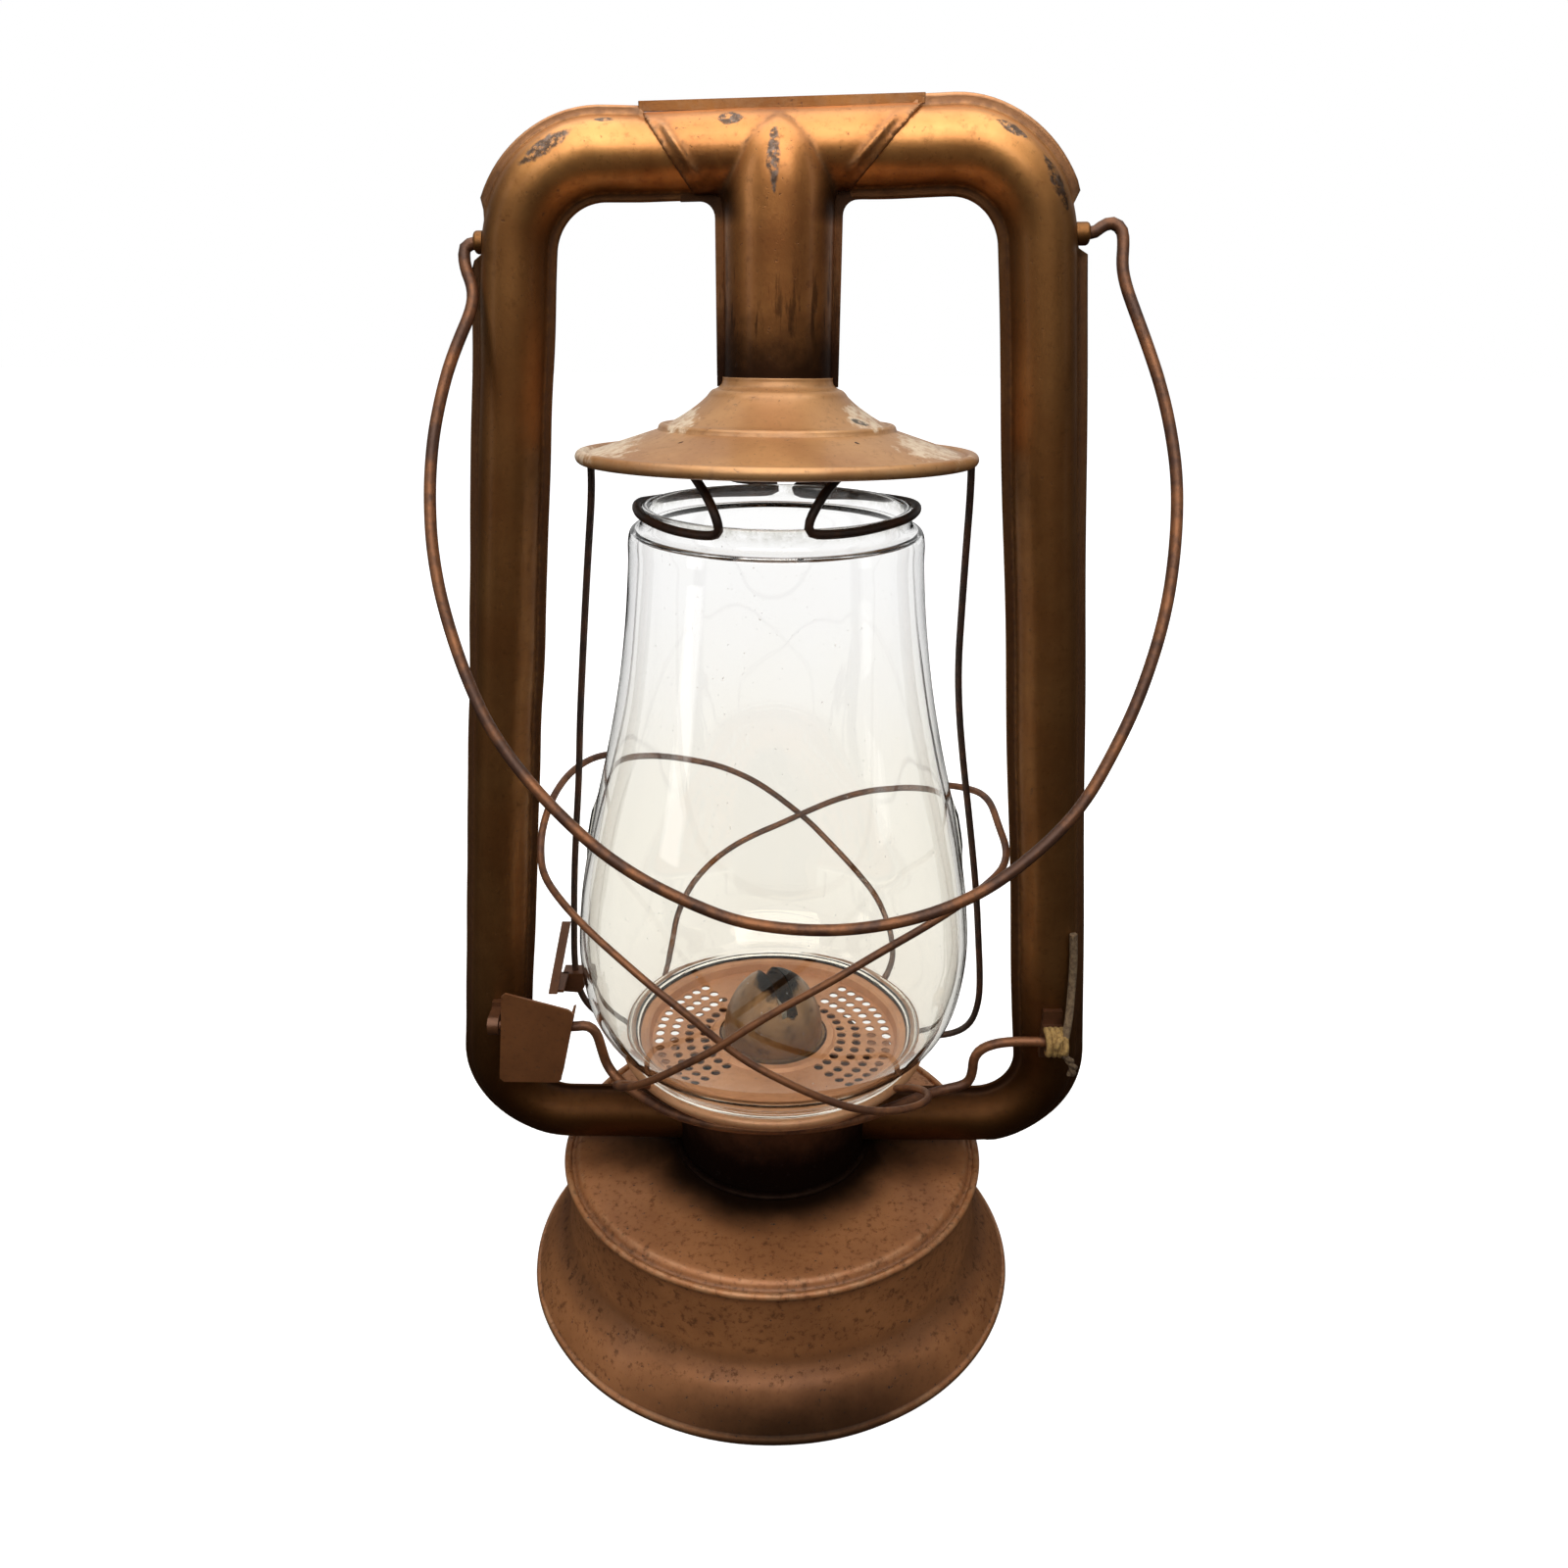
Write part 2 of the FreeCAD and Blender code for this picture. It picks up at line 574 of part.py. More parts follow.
# Canopy and cage
def build_canopy():
    """The bell over the globe: a neck that slides on the central tube and two slopes with a bead between."""
    neck = size.neck_radius.number
    top = size.neck_top.number
    step = size.canopy_step.number - 1.2
    step_height = size.canopy_step_height.number
    gauge = size.canopy_gauge.number
    rim = size.canopy_radius.number - size.canopy_rim_bead.number
    rim_height = size.canopy_foot.number
    outer = [(neck, top), (neck + 0.05, top - 2.0), (neck + 1.0, top - 2.9), (neck + 2.6, top - 3.9),
             (neck + 5.6, top - 6.1), (neck + 10.2, top - 9.2), (step - 0.6, step_height + 0.5)]
    inner = offset_points(outer, gauge)
    cone = spun([spline_edge(outer), spline_edge(inner), line(outer[0], inner[0]), line(outer[-1], inner[-1])])
    slope = [(step + 0.2, step_height), (rim, rim_height + 1.2)]
    slope_in = [(step, step_height - gauge), (rim - 0.2, rim_height + 1.2 - gauge)]
    lower = spun([line(slope[0], slope[1]), line(slope_in[0], slope_in[1]), line(slope[0], slope_in[0]),
                  line(slope[1], slope_in[1])])
    bead = Part.makeTorus(step, 1.2, Vector(0, 0, step_height - 0.1))
    rolled = Part.makeTorus(rim, size.canopy_rim_bead.number, Vector(0, 0, rim_height))
    whole = cone.fuse([lower, bead]).cut(rolled)
    slots = []
    for side in (-1, 1):
        slots.append(Part.makeBox(5.0, 1.8, 20, Vector(side * 14.1 - 2.5, -0.9, top - 4.6)))
    pivot = Vector(0, 0, top - 1.7)
    lean = Placement(Vector(0, 0, 0), Rotation(Vector(1, 0, 0), -size.canopy_tilt.number), pivot)
    piece("canopy", whole.cut(slots), lean)
    piece("canopy_rim", rolled, lean)


def build_holders():
    """Two spring wires under the canopy that hug the glass lip from the left and from the right."""
    hug = float(size.globe_lip) + float(size.holder_wire) / 2 + 0.42
    left = [
        (-23.0, -27.5, 271.1), (-20.8, -29.4, 265.0), (-17.4, -32.6, 261.0), (-15.2, -35.6, 257.6),
        (-13.6, -36.9, 253.6), polar(-111, hug + 0.4, 250.6), polar(-119, hug, 249.9), polar(-133, hug, 250.1),
        polar(-147, hug, 250.8), polar(-161, hug, 251.2), polar(-175, hug, 251.9), polar(171, hug, 251.6),
        polar(157, hug, 250.6), polar(143, hug, 250.2), polar(129, hug, 250.0), polar(115, hug + 0.2, 249.6),
        polar(101, hug + 0.4, 249.3), (-2.6, 38.0, 249.3), (0.2, 38.2, 250.4), (-1.8, 38.0, 252.0),
        (-8.0, 37.2, 252.6), (-14.6, 35.0, 253.6), (-18.4, 32.2, 259.0), (-20.2, 30.2, 268.1)]
    right = [
        (19.5, -29.0, 271.5), (16.2, -30.8, 265.2), (12.0, -33.8, 261.2), (9.8, -36.2, 258.0),
        (7.9, -37.2, 254.4), polar(-78, hug + 0.5, 251.4), polar(-70, hug, 250.9), polar(-57, hug, 251.0),
        polar(-43, hug, 251.5), polar(-29, hug, 251.7), polar(-15, hug, 252.0), polar(-1, hug, 252.1),
        polar(13, hug, 251.6), polar(27, hug, 250.9), polar(41, hug, 250.4), polar(55, hug + 0.1, 249.8),
        polar(67, hug + 0.4, 249.0), (10.6, 37.0, 248.8), (6.6, 38.1, 248.8), (4.2, 38.4, 250.2),
        (6.0, 38.0, 251.6), (11.4, 36.6, 252.0), (16.4, 34.6, 253.4), (19.4, 31.8, 259.0), (21.0, 29.8, 268.1)]
    for word, points in (("left", left), ("right", right)):
        piece("holder_wire_" + word, rod(route(points), size.holder_wire.number / 2))


def build_globe():
    """The glass globe with its foot, bulge, shoulder and lip."""
    bulge = size.globe_bulge.number
    bulge_height = size.globe_bulge_height.number
    foot = size.globe_foot.number
    seat = size.globe_seat.number
    shoulder = size.globe_shoulder.number
    shoulder_height = size.globe_shoulder_height.number
    lip = size.globe_lip.number
    top = size.globe_top.number
    wall = size.globe_wall.number
    outer = [
        (foot, seat), (foot + 0.5, seat + 2.0), (foot + 3.2, seat + 5.3), (foot + 7.8, seat + 11.2),
        (bulge - 1.5, bulge_height - 14.0),
        (bulge, bulge_height), (bulge - 1.2, bulge_height + 15.0), (bulge - 3.4, bulge_height + 28.0),
        (52.0, 166.0), (47.7, 184.0), (44.0, 202.0), (41.4, 220.0), (shoulder + 0.3, 236.0),
        (shoulder, shoulder_height)]
    inner = offset_points(outer, wall)
    inner[0] = (foot - size.globe_foot_wall.number, seat)
    shelf = [
        (shoulder, shoulder_height), (shoulder - 0.7, shoulder_height + 2.2),
        (lip + 0.5, shoulder_height + 3.3), (lip, shoulder_height + 4.6)]
    edges = [spline_edge(outer), spline_edge(inner), line(outer[0], inner[0]), spline_edge(shelf),
             line(shelf[-1], (lip, top)), line((lip, top), (lip - wall, top)),
             line((lip - wall, top), (lip - wall, shoulder_height + 3.0)),
             line((lip - wall, shoulder_height + 3.0), inner[-1])]
    piece("globe", spun(edges))


def build_globe_plate():
    """The perforated plate that carries the globe, with its rolled rim and skirt."""
    gauge = size.sheet_gauge
    seat = size.globe_seat
    top = size.plate_height
    edge = size.plate_edge
    skirt = size.rim_radius - 2.8
    whole = turned("globe_plate_whole", [
        (size.plate_hole, top + 1.0), (size.plate_collar - 0.8, top + 1.0), (size.plate_collar, top),
        (edge, top), (edge + 0.8, seat - 0.6), (edge + 1.6, seat), (skirt, seat), (skirt, seat - gauge),
        (edge + 1.9, seat - gauge), (edge + 1.4, seat - 0.9), (edge + 0.6, top - gauge),
        (size.plate_collar - 0.4, top - gauge), (size.plate_collar - 1.2, top + 1.0 - gauge),
        (size.plate_hole, top + 1.0 - gauge)])
    document.recompute()
    holes = []
    rows = ((21.8, 11), (26.6, 13), (31.4, 15), (36.2, 17))
    spread = 100.0
    for facing in (0, 180):
        for radius, count in rows:
            for index in range(count):
                bearing = facing - spread / 2 + spread * index / (count - 1)
                foot = Vector(*polar(bearing, radius, top.number - 3))
                holes.append(Part.makeCylinder(size.perforation.number / 2, 6, foot))
    piece("globe_plate", cut_by("globe_plate", whole, holes))

    bead_radius = size.rim_bead.number
    bead_height = size.globe_seat.number - bead_radius - 0.05
    bead = Part.makeTorus(size.rim_radius.number - bead_radius, bead_radius, Vector(0, 0, bead_height))
    inner = skirt.number
    skirt_height = bead_height - size.skirt_foot.number
    outside = Part.makeCylinder(inner + 0.5, skirt_height, Vector(0, 0, size.skirt_foot.number))
    inside = Part.makeCylinder(inner, 20, Vector(0, 0, 80))
    piece("globe_plate_rim", outside.cut(inside).fuse(bead.cut(inside)))


def build_guides():
    """The wires that tie the canopy to the globe plate, and the catch on the left one."""
    left = [(-48.9, 0, 264.4), (-49.0, 0, 255.0), (-50.7, 0, 240.0), (-52.4, 0, 224.0), (-54.1, 0, 207.0),
            (-55.7, 0, 190.0), (-56.9, 0, 173.0), (-58.8, 0, 155.0), (-60.2, 0, 139.0), (-61.0, 0, 125.0),
            (-61.7, 0, 112.0), (-61.0, 0, 101.5), (-57.2, 0, 94.0), (-47.2, 0, 87.2)]
    right = [(50.9, 0, 264.4), (51.2, 0, 255.0), (51.0, 0, 241.0), (50.9, 0, 225.0), (50.9, 0, 208.0),
             (52.1, 0, 194.0), (54.1, 0, 180.0), (56.6, 0, 165.0), (59.0, 0, 150.0), (61.2, 0, 135.0),
             (62.8, 0, 120.0), (64.2, 0, 107.0), (64.4, 0, 98.0), (62.4, 0, 90.0), (56.5, 0, 86.2),
             (46.4, 0, 85.5)]
    for word, points in (("left", left), ("right", right)):
        piece("guide_wire_" + word, rod(route(points), size.guide_wire.number / 2))
    padded("guide_catch", "XZ_Plane",
           [(-65.0, 102.4), (-60.0, 102.0), (-58.6, 104.0), (-58.8, 108.8), (-65.0, 108.8)], -2.6, 5.2)
    low = Vector(-66.4, -12.4, 107.6)
    high = Vector(-62.6, -3.4, 127.5)
    along = (high - low).normalize()
    across = Vector(1, 0, 0)
    flat = along.cross(across).normalize()
    corners = [low - across * 1.3 - flat * 0.45, low + across * 1.3 - flat * 0.45,
               low + across * 1.3 + flat * 0.45, low - across * 1.3 + flat * 0.45]
    blade = Part.Face(Part.makePolygon(corners + corners[:1])).extrude(high - low)
    tie = Part.makeBox(3.6, 10.4, 0.9, Vector(-66.8, -12.0, 107.9))
    piece("catch_blade", blade.fuse(tie).removeSplitter())


def build_guards():
    """Two wires that wrap the globe, high on one side and hooked low on the other."""
    wrap_a = [
        polar(-40, 47.4, 87.9), polar(-43, 54.6, 93.4), polar(-45.6, 62.4, 97.4), polar(-48.5, 66.0, 98.2),
        polar(-55, 66.9, 99.4), polar(-63, 67.0, 101.7), polar(-71, 66.6, 105.2), polar(-79, 65.6, 109.8),
        polar(-87, 64.6, 114.8), polar(-95, 63.9, 119.6), polar(-103, 63.7, 126.0), polar(-110, 64.8, 133.0),
        polar(-118, 65.6, 138.8), polar(-126, 66.1, 143.8), polar(-134, 66.9, 147.8), polar(-142, 67.5, 150.8),
        polar(-150, 67.8, 152.4), polar(-158, 68.2, 153.2), polar(-165, 68.3, 154.4), polar(-170, 67.6, 160.4),
        polar(-176, 65.6, 165.6), polar(176, 64.2, 168.0), polar(166, 63.8, 168.8), polar(155, 64.0, 168.4),
        polar(146, 64.5, 166.6), polar(137.5, 65.0, 164.0), polar(128, 65.5, 161.0), polar(118, 66.0, 157.1),
        polar(109, 66.1, 153.4), polar(100, 66.2, 148.5), polar(92, 66.8, 142.2), polar(84, 67.0, 135.0),
        polar(78, 66.6, 129.4), polar(72, 66.2, 123.2), polar(64, 66.1, 115.2), polar(56, 65.9, 107.4),
        polar(50, 64.6, 99.0), polar(45, 60.4, 91.4), polar(41, 55.0, 89.4), polar(37, 47.3, 87.7)]
    wrap_b = [
        polar(-140, 47.4, 87.9), polar(-136.6, 55.2, 93.8), polar(-134.0, 62.8, 99.4),
        polar(-130.0, 66.0, 102.0), polar(-124, 66.8, 105.8), polar(-117, 66.8, 111.6),
        polar(-110, 66.4, 118.0), polar(-103, 66.1, 124.0),
        polar(-97, 65.0, 129.4), polar(-91, 64.1, 134.2), polar(-85, 63.9, 138.4), polar(-79, 64.1, 142.2),
        polar(-72, 64.9, 146.8), polar(-65, 66.2, 151.4), polar(-55, 67.9, 156.0), polar(-45, 68.6, 158.6),
        polar(-33, 68.8, 159.4), polar(-22, 68.6, 158.4), polar(-11, 67.7, 157.8), polar(-3, 65.5, 160.4),
        polar(5, 64.7, 163.6), polar(13, 64.6, 163.2), polar(21, 65.0, 161.0), polar(30, 65.5, 158.2),
        polar(40, 65.8, 154.6), polar(50, 66.0, 150.7), polar(60, 66.0, 146.8), polar(69.6, 65.8, 142.0),
        polar(79, 64.7, 136.6), polar(88, 64.2, 131.0), polar(97, 65.2, 126.2), polar(106, 66.0, 120.6),
        polar(113, 66.1, 114.6), polar(119, 65.8, 107.4), polar(124, 63.8, 99.0), polar(128, 59.4, 91.6),
        polar(133, 54.6, 89.6), polar(142, 47.3, 87.7)]
    piece("guard_wire_a", rod(route(wrap_a), size.guard_wire.number / 2))
    piece("guard_wire_b", rod(route(wrap_b), size.guard_wire.number / 2))


# Burner
def wick_turn():
    """The turn from the X axis to the wick's wide side."""
    return Rotation(Vector(0, 0, 1), size.wick_bearing.number)


def wick_box(width, gauge, low, high):
    """A flat upright bar in the wick's direction, with rounded narrow sides."""
    half = width / 2 - gauge / 2
    bar = Part.makeBox(2 * half, gauge, high - low, Vector(-half, -gauge / 2, low))
    ends = [Part.makeCylinder(gauge / 2, high - low, Vector(x, 0, low)) for x in (-half, half)]
    bar = bar.fuse(ends).removeSplitter()
    bar.Placement = Placement(Vector(0, 0, 0), wick_turn())
    return bar


def spindle_point(along, across):
    """A point at the shaft's height, measured towards the rear along the wick's side and across it."""
    rear = wick_turn().multVec(Vector(-1, 0, 0))
    side = wick_turn().multVec(Vector(0, 1, 0))
    return rear * along + side * across + Vector(0, 0, size.spindle_height.number)


def spindle_offset():
    """Distance of the shaft from the wick's middle plane."""
    return size.wick_gauge.number / 2 + size.spur_radius.number + 0.3


def spindle_bore(radius, first, last):
    """A round bar along the shaft, to cut its way through a wall."""
    start = spindle_point(first, spindle_offset())
    end = spindle_point(last, spindle_offset())
    return Part.makeCylinder(radius, last - first, start, (end - start))


def toothed_disc(radius, root, teeth, thickness):
    """A flat wheel with pointed teeth about the Z axis."""
    corners = []
    for index in range(teeth):
        corners.append(Vector(*polar(360.0 * index / teeth, radius, 0)))
        corners.append(Vector(*polar(360.0 * (index + 0.5) / teeth, root, 0)))
    return Part.Face(Part.makePolygon(corners + corners[:1])).extrude(Vector(0, 0, thickness))


def build_burner():
    """The burner: basket, flat wick tube, wick, dome and the raiser with its thumb wheel."""
    gauge = size.tube_gauge
    radius = size.burner_radius
    foot = size.top_height + 3.6
    whole = turned("burner_basket_whole", [
        (0, foot), (radius, foot), (radius, size.cone_foot - 4.0), (radius + 1.3, size.cone_foot - 2.2),
        (radius + 1.3, size.cone_foot - 0.6), (radius + 0.8, size.cone_foot - 0.6),
        (radius + 0.8, size.cone_foot - 2.0),
        (radius - gauge, size.cone_foot - 3.8), (radius - gauge, foot + gauge), (0, foot + gauge)])
    document.recompute()
    vents = []
    for index in range(16):
        for height in (58.0, 63.0, 75.0, 79.0):
            direction = Vector(*polar(index * 22.5, 1, 0))
            vents.append(Part.makeCylinder(1.3, 30, Vector(0, 0, height), direction))
    passage = wick_box(17.8, 4.1, 45, 60)
    piece("burner_basket", cut_by("burner_basket", whole, vents + [passage, spindle_bore(1.3, 5, 30)]))

    tube = wick_box(17.8, 4.1, 42.0, 96.0).cut(wick_box(16.9, 3.2, 40.0, 100.0))
    window = Part.makeBox(14, 3.0, 10, Vector(-7, 0.3, size.spindle_height.number - 5))
    window.Placement = Placement(Vector(0, 0, 0), wick_turn())
    piece("wick_tube", tube.cut(window))
    foot, top = size.wick_foot.number, size.wick_top.number
    piece("wick", wick_box(size.wick_width.number, size.wick_gauge.number, foot, top))

    cone = size.cone_radius.number
    cone_foot = size.cone_foot.number
    cone_top = size.cone_top.number

    rise = cone_foot + 0.4
    hollow = domed_post(cone - 0.5, cone_foot, rise, cone_top - 0.5)
    shell = domed_post(cone, cone_foot, rise, cone_top).cut(hollow)
    flange = Part.makeCylinder(cone + 0.9, 0.6, Vector(0, 0, cone_foot - 0.6)).cut(
        Part.makeCylinder(cone - 0.5, 3, Vector(0, 0, cone_foot - 1)))
    slot_width = size.flame_slot.number
    slot = Part.makeBox(25, slot_width, 20, Vector(-12.5, -slot_width / 2, cone_foot + 9.0))
    slot.Placement = Placement(Vector(0, 0, 0), wick_turn())
    piece("burner_dome", shell.fuse(flange).cut(slot).removeSplitter())

    knob_near = 41.0
    shaft = spindle_bore(size.spindle_radius.number, -8.0, knob_near + 2.4)
    piece("wick_spindle", shaft)
    rear = wick_turn().multVec(Vector(-1, 0, 0))
    turn = Rotation(Vector(0, 0, 1), rear)
    for number, along in ((1, -5.4), (2, 3.8)):
        wheel = toothed_disc(size.spur_radius.number, size.spur_radius.number - 1.1, 12, 1.4)
        wheel = wheel.cut(Part.makeCylinder(size.spindle_radius.number, 10, Vector(0, 0, -5)))
        piece(f"spur_wheel_{number}", wheel, Placement(spindle_point(along, spindle_offset()), turn))
    knob = toothed_disc(size.knob_radius.number, size.knob_radius.number - 0.45, 36, 2.2)
    knob = knob.cut(Part.makeCylinder(size.spindle_radius.number, 10, Vector(0, 0, -5)))
    piece("wick_knob", knob, Placement(spindle_point(knob_near, spindle_offset()), turn))


# Lift
def pivot_height(x):
    """Height of the crank's pivot line, which drops a little from left to right."""
    left, right = size.crank_left.number, size.crank_right.number
    return left + (right - left) * (x + 88.0) / 176.0


def leg_axis_point(side, height):
    """The middle of a side tube's leg at a height."""
    low, high = size.run_height.number, (size.corner_left if side < 0 else size.corner_right).number
    share = (height - low) / (high - low)
    return side * (size.lower_corner.number + (size.upper_corner.number - size.lower_corner.number) * share)


def build_lift():
    """The crank that lifts the globe, its lever plate, its two straps and the twine on the right one."""
    front = size.crank_front.number
    crank = [
        (-86.2, front, pivot_height(-86.2)), (-60.6, front, pivot_height(-60.6)), (-56.0, front, 98.9),
        (-53.2, front, 96.2), (-52.0, -15.6, 90.0), (-50.6, -16.0, 84.4), (-46.6, -19.0, 81.0),
        (-38.8, -26.0, 80.4), (-28.0, -34.6, 80.4), (-12.0, -40.2, 80.4), (6.0, -40.6, 80.4),
        (22.0, -36.8, 80.2), (35.0, -28.8, 79.4), (45.6, -20.0, 77.6), (53.0, -16.2, 77.2), (60.2, -15.5, 78.6),
        (61.4, front, 83.4), (61.2, front, 88.6), (64.2, front, 92.6),
        (72.0, front, pivot_height(72.0)), (89.0, front, pivot_height(89.0))]
    piece("lift_crank", rod(route(crank), size.crank_wire.number / 2))

    face = size.lever_front
    gauge = size.lever_gauge
    plate = padded("lever_plate_whole", "XZ_Plane", [
        (-79.4, 110.8), (-61.0, 105.3), (-59.4, 103.8), (-64.6, 80.4), (-66.0, 79.4), (-82.2, 79.5),
        (-83.4, 80.8), (-80.6, 109.8)], -face.number - 0.8, gauge)
    flange = padded("lever_flange_whole", "XZ_Plane", [
        (-60.3, 103.6), (-59.5, 103.8), (-64.7, 80.4), (-65.5, 80.4)], -face.number - 5.6, 4.8)
    document.recompute()
    wire_start = Vector(-72, front, pivot_height(-72))
    wire_bore = Part.makeCylinder(size.crank_wire.number / 2 + 0.02, 20, wire_start, Vector(1, 0, -0.025))
    piece("lever_plate", plate.Shape.fuse(flange.Shape.cut(wire_bore)).removeSplitter())

    running = 0.1
    straps = (("left", -1, -85.6, 3.2, 94.0, 103.0), ("right", 1, 82.6, 5.8, 85.0, 101.6))
    for word, side, near, width, low, high in straps:
        height = pivot_height(near + width / 2)
        pad = Part.makeBox(width, 4.2, high - low, Vector(near, -10.2, low))
        post = Part.makeBox(width, 10.0, 6.0, Vector(near, front + 0.4, height - 3.0))
        eye = Part.makeCylinder(3.0, width, Vector(near, front, height), Vector(1, 0, 0))
        bore_start = Vector(near - 3, front, pivot_height(near - 3))
        bore = Part.makeCylinder(size.crank_wire.number / 2 + running, 12, bore_start, Vector(1, 0, -0.025))
        foot = Vector(leg_axis_point(side, 60.0), 0, 60.0)
        head = Vector(leg_axis_point(side, 140.0), 0, 140.0)
        tube = Part.makeCylinder(size.tube_radius.number, 90, foot, head - foot)
        strap = pad.fuse([post, eye]).cut([bore, tube]).removeSplitter()
        piece("lift_strap_" + word, strap)


def print_bends(name, points):
    """Print the radius at each inner point of a cord's route."""
    places = [Vector(*point) for point in points]
    for before, here, after in zip(places, places[1:], places[2:]):
        turn = (here - before).getAngle(after - here)
        reach = 0.45 * min((here - before).Length, (after - here).Length)
        print(f"{name}: bend radius {reach / math.tan(turn / 2):.1f}")


def build_twine():
    """A scrap of twine wound on the right strap's eye, with one end up the tube and a short tail."""
    middle = Vector(85.6, size.crank_front.number, pivot_height(85.6))
    winding = Part.makeCylinder(4.5, 6.6, middle - Vector(3.3, 0, 0), Vector(1, 0, 0))
    winding = winding.makeFillet(1.2, winding.Edges[0:1] + winding.Edges[2:3])
    lump = Part.makeSphere(2.9, Vector(86.6, -19.4, 96.2))
    strap = document.getObjectsByLabel("lift_strap_right")[0].Shape
    free_radius = size.crank_wire.number / 2 + 0.6
    free_way = Part.makeCylinder(free_radius, 12, middle - Vector(6, 0, 0), Vector(1, 0, -0.025))
    up = [(88.0, -17.6, 97.0), (89.6, -13.4, 101.6), (90.4, -9.7, 107.0), (90.6, -8.3, 113.5),
          (90.4, -7.5, 120.3), (89.7, -7.3, 127.0)]
    print_bends("twine_strand", up)
    tail = [(87.8, -18.0, 92.0), (90.2, -18.0, 89.2), (91.9, -17.0, 85.8), (91.4, -15.8, 82.2)]
    strand = rod(route(up), 1.3)
    end = rod(route(tail), 1.6)
    piece("twine_knot", winding.fuse(lump).cut([strap, free_way, strand, end]).removeSplitter())
    piece("twine_strand", strand)
    piece("twine_tail", end)


build_fount()
build_chamber()
build_side(-1, "left")
build_side(1, "right")
build_crown()
build_bail()
build_canopy()
build_holders()
build_globe()
build_globe_plate()
build_guides()
build_guards()
build_burner()
build_lift()
build_twine()
document.recompute()

# Check and export
NODES = (
    "fount_wall", "fount_foot_bead", "fount_shoulder_bead", "fount_top", "fount_bottom", "burner_collar",
    "filler_neck", "filler_gasket", "filler_cap", "chamber_wall", "chamber_foot_ring", "chamber_deck",
    "side_tube_left", "side_tube_right", "outer_seam_left", "outer_seam_right", "inner_seam_left",
    "inner_seam_right", "bail_ear_left", "bail_ear_right", "crown", "crown_top_seam", "crown_seam_left",
    "crown_seam_right", "bail", "canopy", "canopy_rim", "holder_wire_left", "holder_wire_right", "globe",
    "globe_plate", "globe_plate_rim", "guide_wire_left", "guide_wire_right", "guide_catch", "catch_blade",
    "guard_wire_a", "guard_wire_b", "burner_basket", "wick_tube", "wick", "burner_dome", "wick_spindle",
    "spur_wheel_1", "spur_wheel_2", "wick_knob", "lift_crank", "lever_plate", "lift_strap_left",
    "lift_strap_right", "twine_knot", "twine_strand", "twine_tail")
for item in document.Objects:
    if "Invalid" in item.State or "Error" in item.State:
        raise RuntimeError(item.Name + " failed: " + ", ".join(item.State))
os.makedirs("parts", exist_ok=True)
for name in NODES:
    item = document.getObjectsByLabel(name)[0]
    shape = item.Shape
    if shape.isNull() or not shape.isValid() or not shape.Solids:
        raise RuntimeError(name + " has no valid solid")
    shape.exportStep(f"parts/{name}.step")
    box = shape.BoundBox
    print(f"{name:22s} solids {len(shape.Solids)} volume {shape.Volume:10.1f}"
          f" x {box.XMin:7.1f} {box.XMax:7.1f} y {box.YMin:7.1f} {box.YMax:7.1f} z {box.ZMin:7.1f} {box.ZMax:7.1f}")
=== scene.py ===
# %% [markdown]
# # An old oil lantern
# The lantern burns oil on a flat wick. Air comes down to the burner through the two side tubes,
# so the tubes are ducts as well as the frame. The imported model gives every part's place, and this
# notebook dresses it: smooth pressed sheet, bent wire, blown glass and worn copper-bronze paint.

# %% Load the frame
import math

import bpy
import numpy as np
from mathutils import Matrix, Vector


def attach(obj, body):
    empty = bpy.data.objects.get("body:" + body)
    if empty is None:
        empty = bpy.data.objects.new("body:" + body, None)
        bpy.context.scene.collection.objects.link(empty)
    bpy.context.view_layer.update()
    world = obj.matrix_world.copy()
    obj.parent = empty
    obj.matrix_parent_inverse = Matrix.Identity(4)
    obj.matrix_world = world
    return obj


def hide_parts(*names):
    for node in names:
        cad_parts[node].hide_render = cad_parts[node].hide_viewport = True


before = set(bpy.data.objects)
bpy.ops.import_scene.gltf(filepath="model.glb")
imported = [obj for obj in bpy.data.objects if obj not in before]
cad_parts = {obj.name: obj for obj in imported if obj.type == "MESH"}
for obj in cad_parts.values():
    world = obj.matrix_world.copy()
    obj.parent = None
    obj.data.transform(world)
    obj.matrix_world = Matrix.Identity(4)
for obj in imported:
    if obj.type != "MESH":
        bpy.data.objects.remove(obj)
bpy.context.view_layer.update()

MM = 0.001

# %% [markdown]
# ## Camera
# The lens was fitted to the ellipses of the foot, the plate and the canopy: the camera stands a
# third of a metre in front of the lantern, a little lower than its crown, and looks 22.5 degrees
# down, with a slight roll. Its three directions are worked out first, and then put in a matrix.

# %% Camera
PITCH = math.radians(22.5)
ROLL = 0.0101
CAMERA_PLACE = (0.00263, -0.329, 0.308)
SENSOR_WIDTH = 36.0
LENS = 28.125
forward = Vector((0, math.cos(PITCH), -math.sin(PITCH)))
level = Vector((1, 0, 0))
above = level.cross(forward)
right = math.cos(ROLL) * level + math.sin(ROLL) * above
up = math.cos(ROLL) * above - math.sin(ROLL) * level
camera_data = bpy.data.cameras.new("photo_camera")
camera_data.lens = LENS
camera_data.sensor_width = SENSOR_WIDTH
camera_data.clip_start = 0.01
camera = bpy.data.objects.new("photo_camera", camera_data)
bpy.context.scene.collection.objects.link(camera)
turn_matrix = Matrix((right, up, -forward)).transposed().to_4x4()
camera.matrix_world = Matrix.Translation(CAMERA_PLACE) @ turn_matrix
bpy.context.scene.camera = camera
print("camera", tuple(round(part, 3) for part in camera.location))

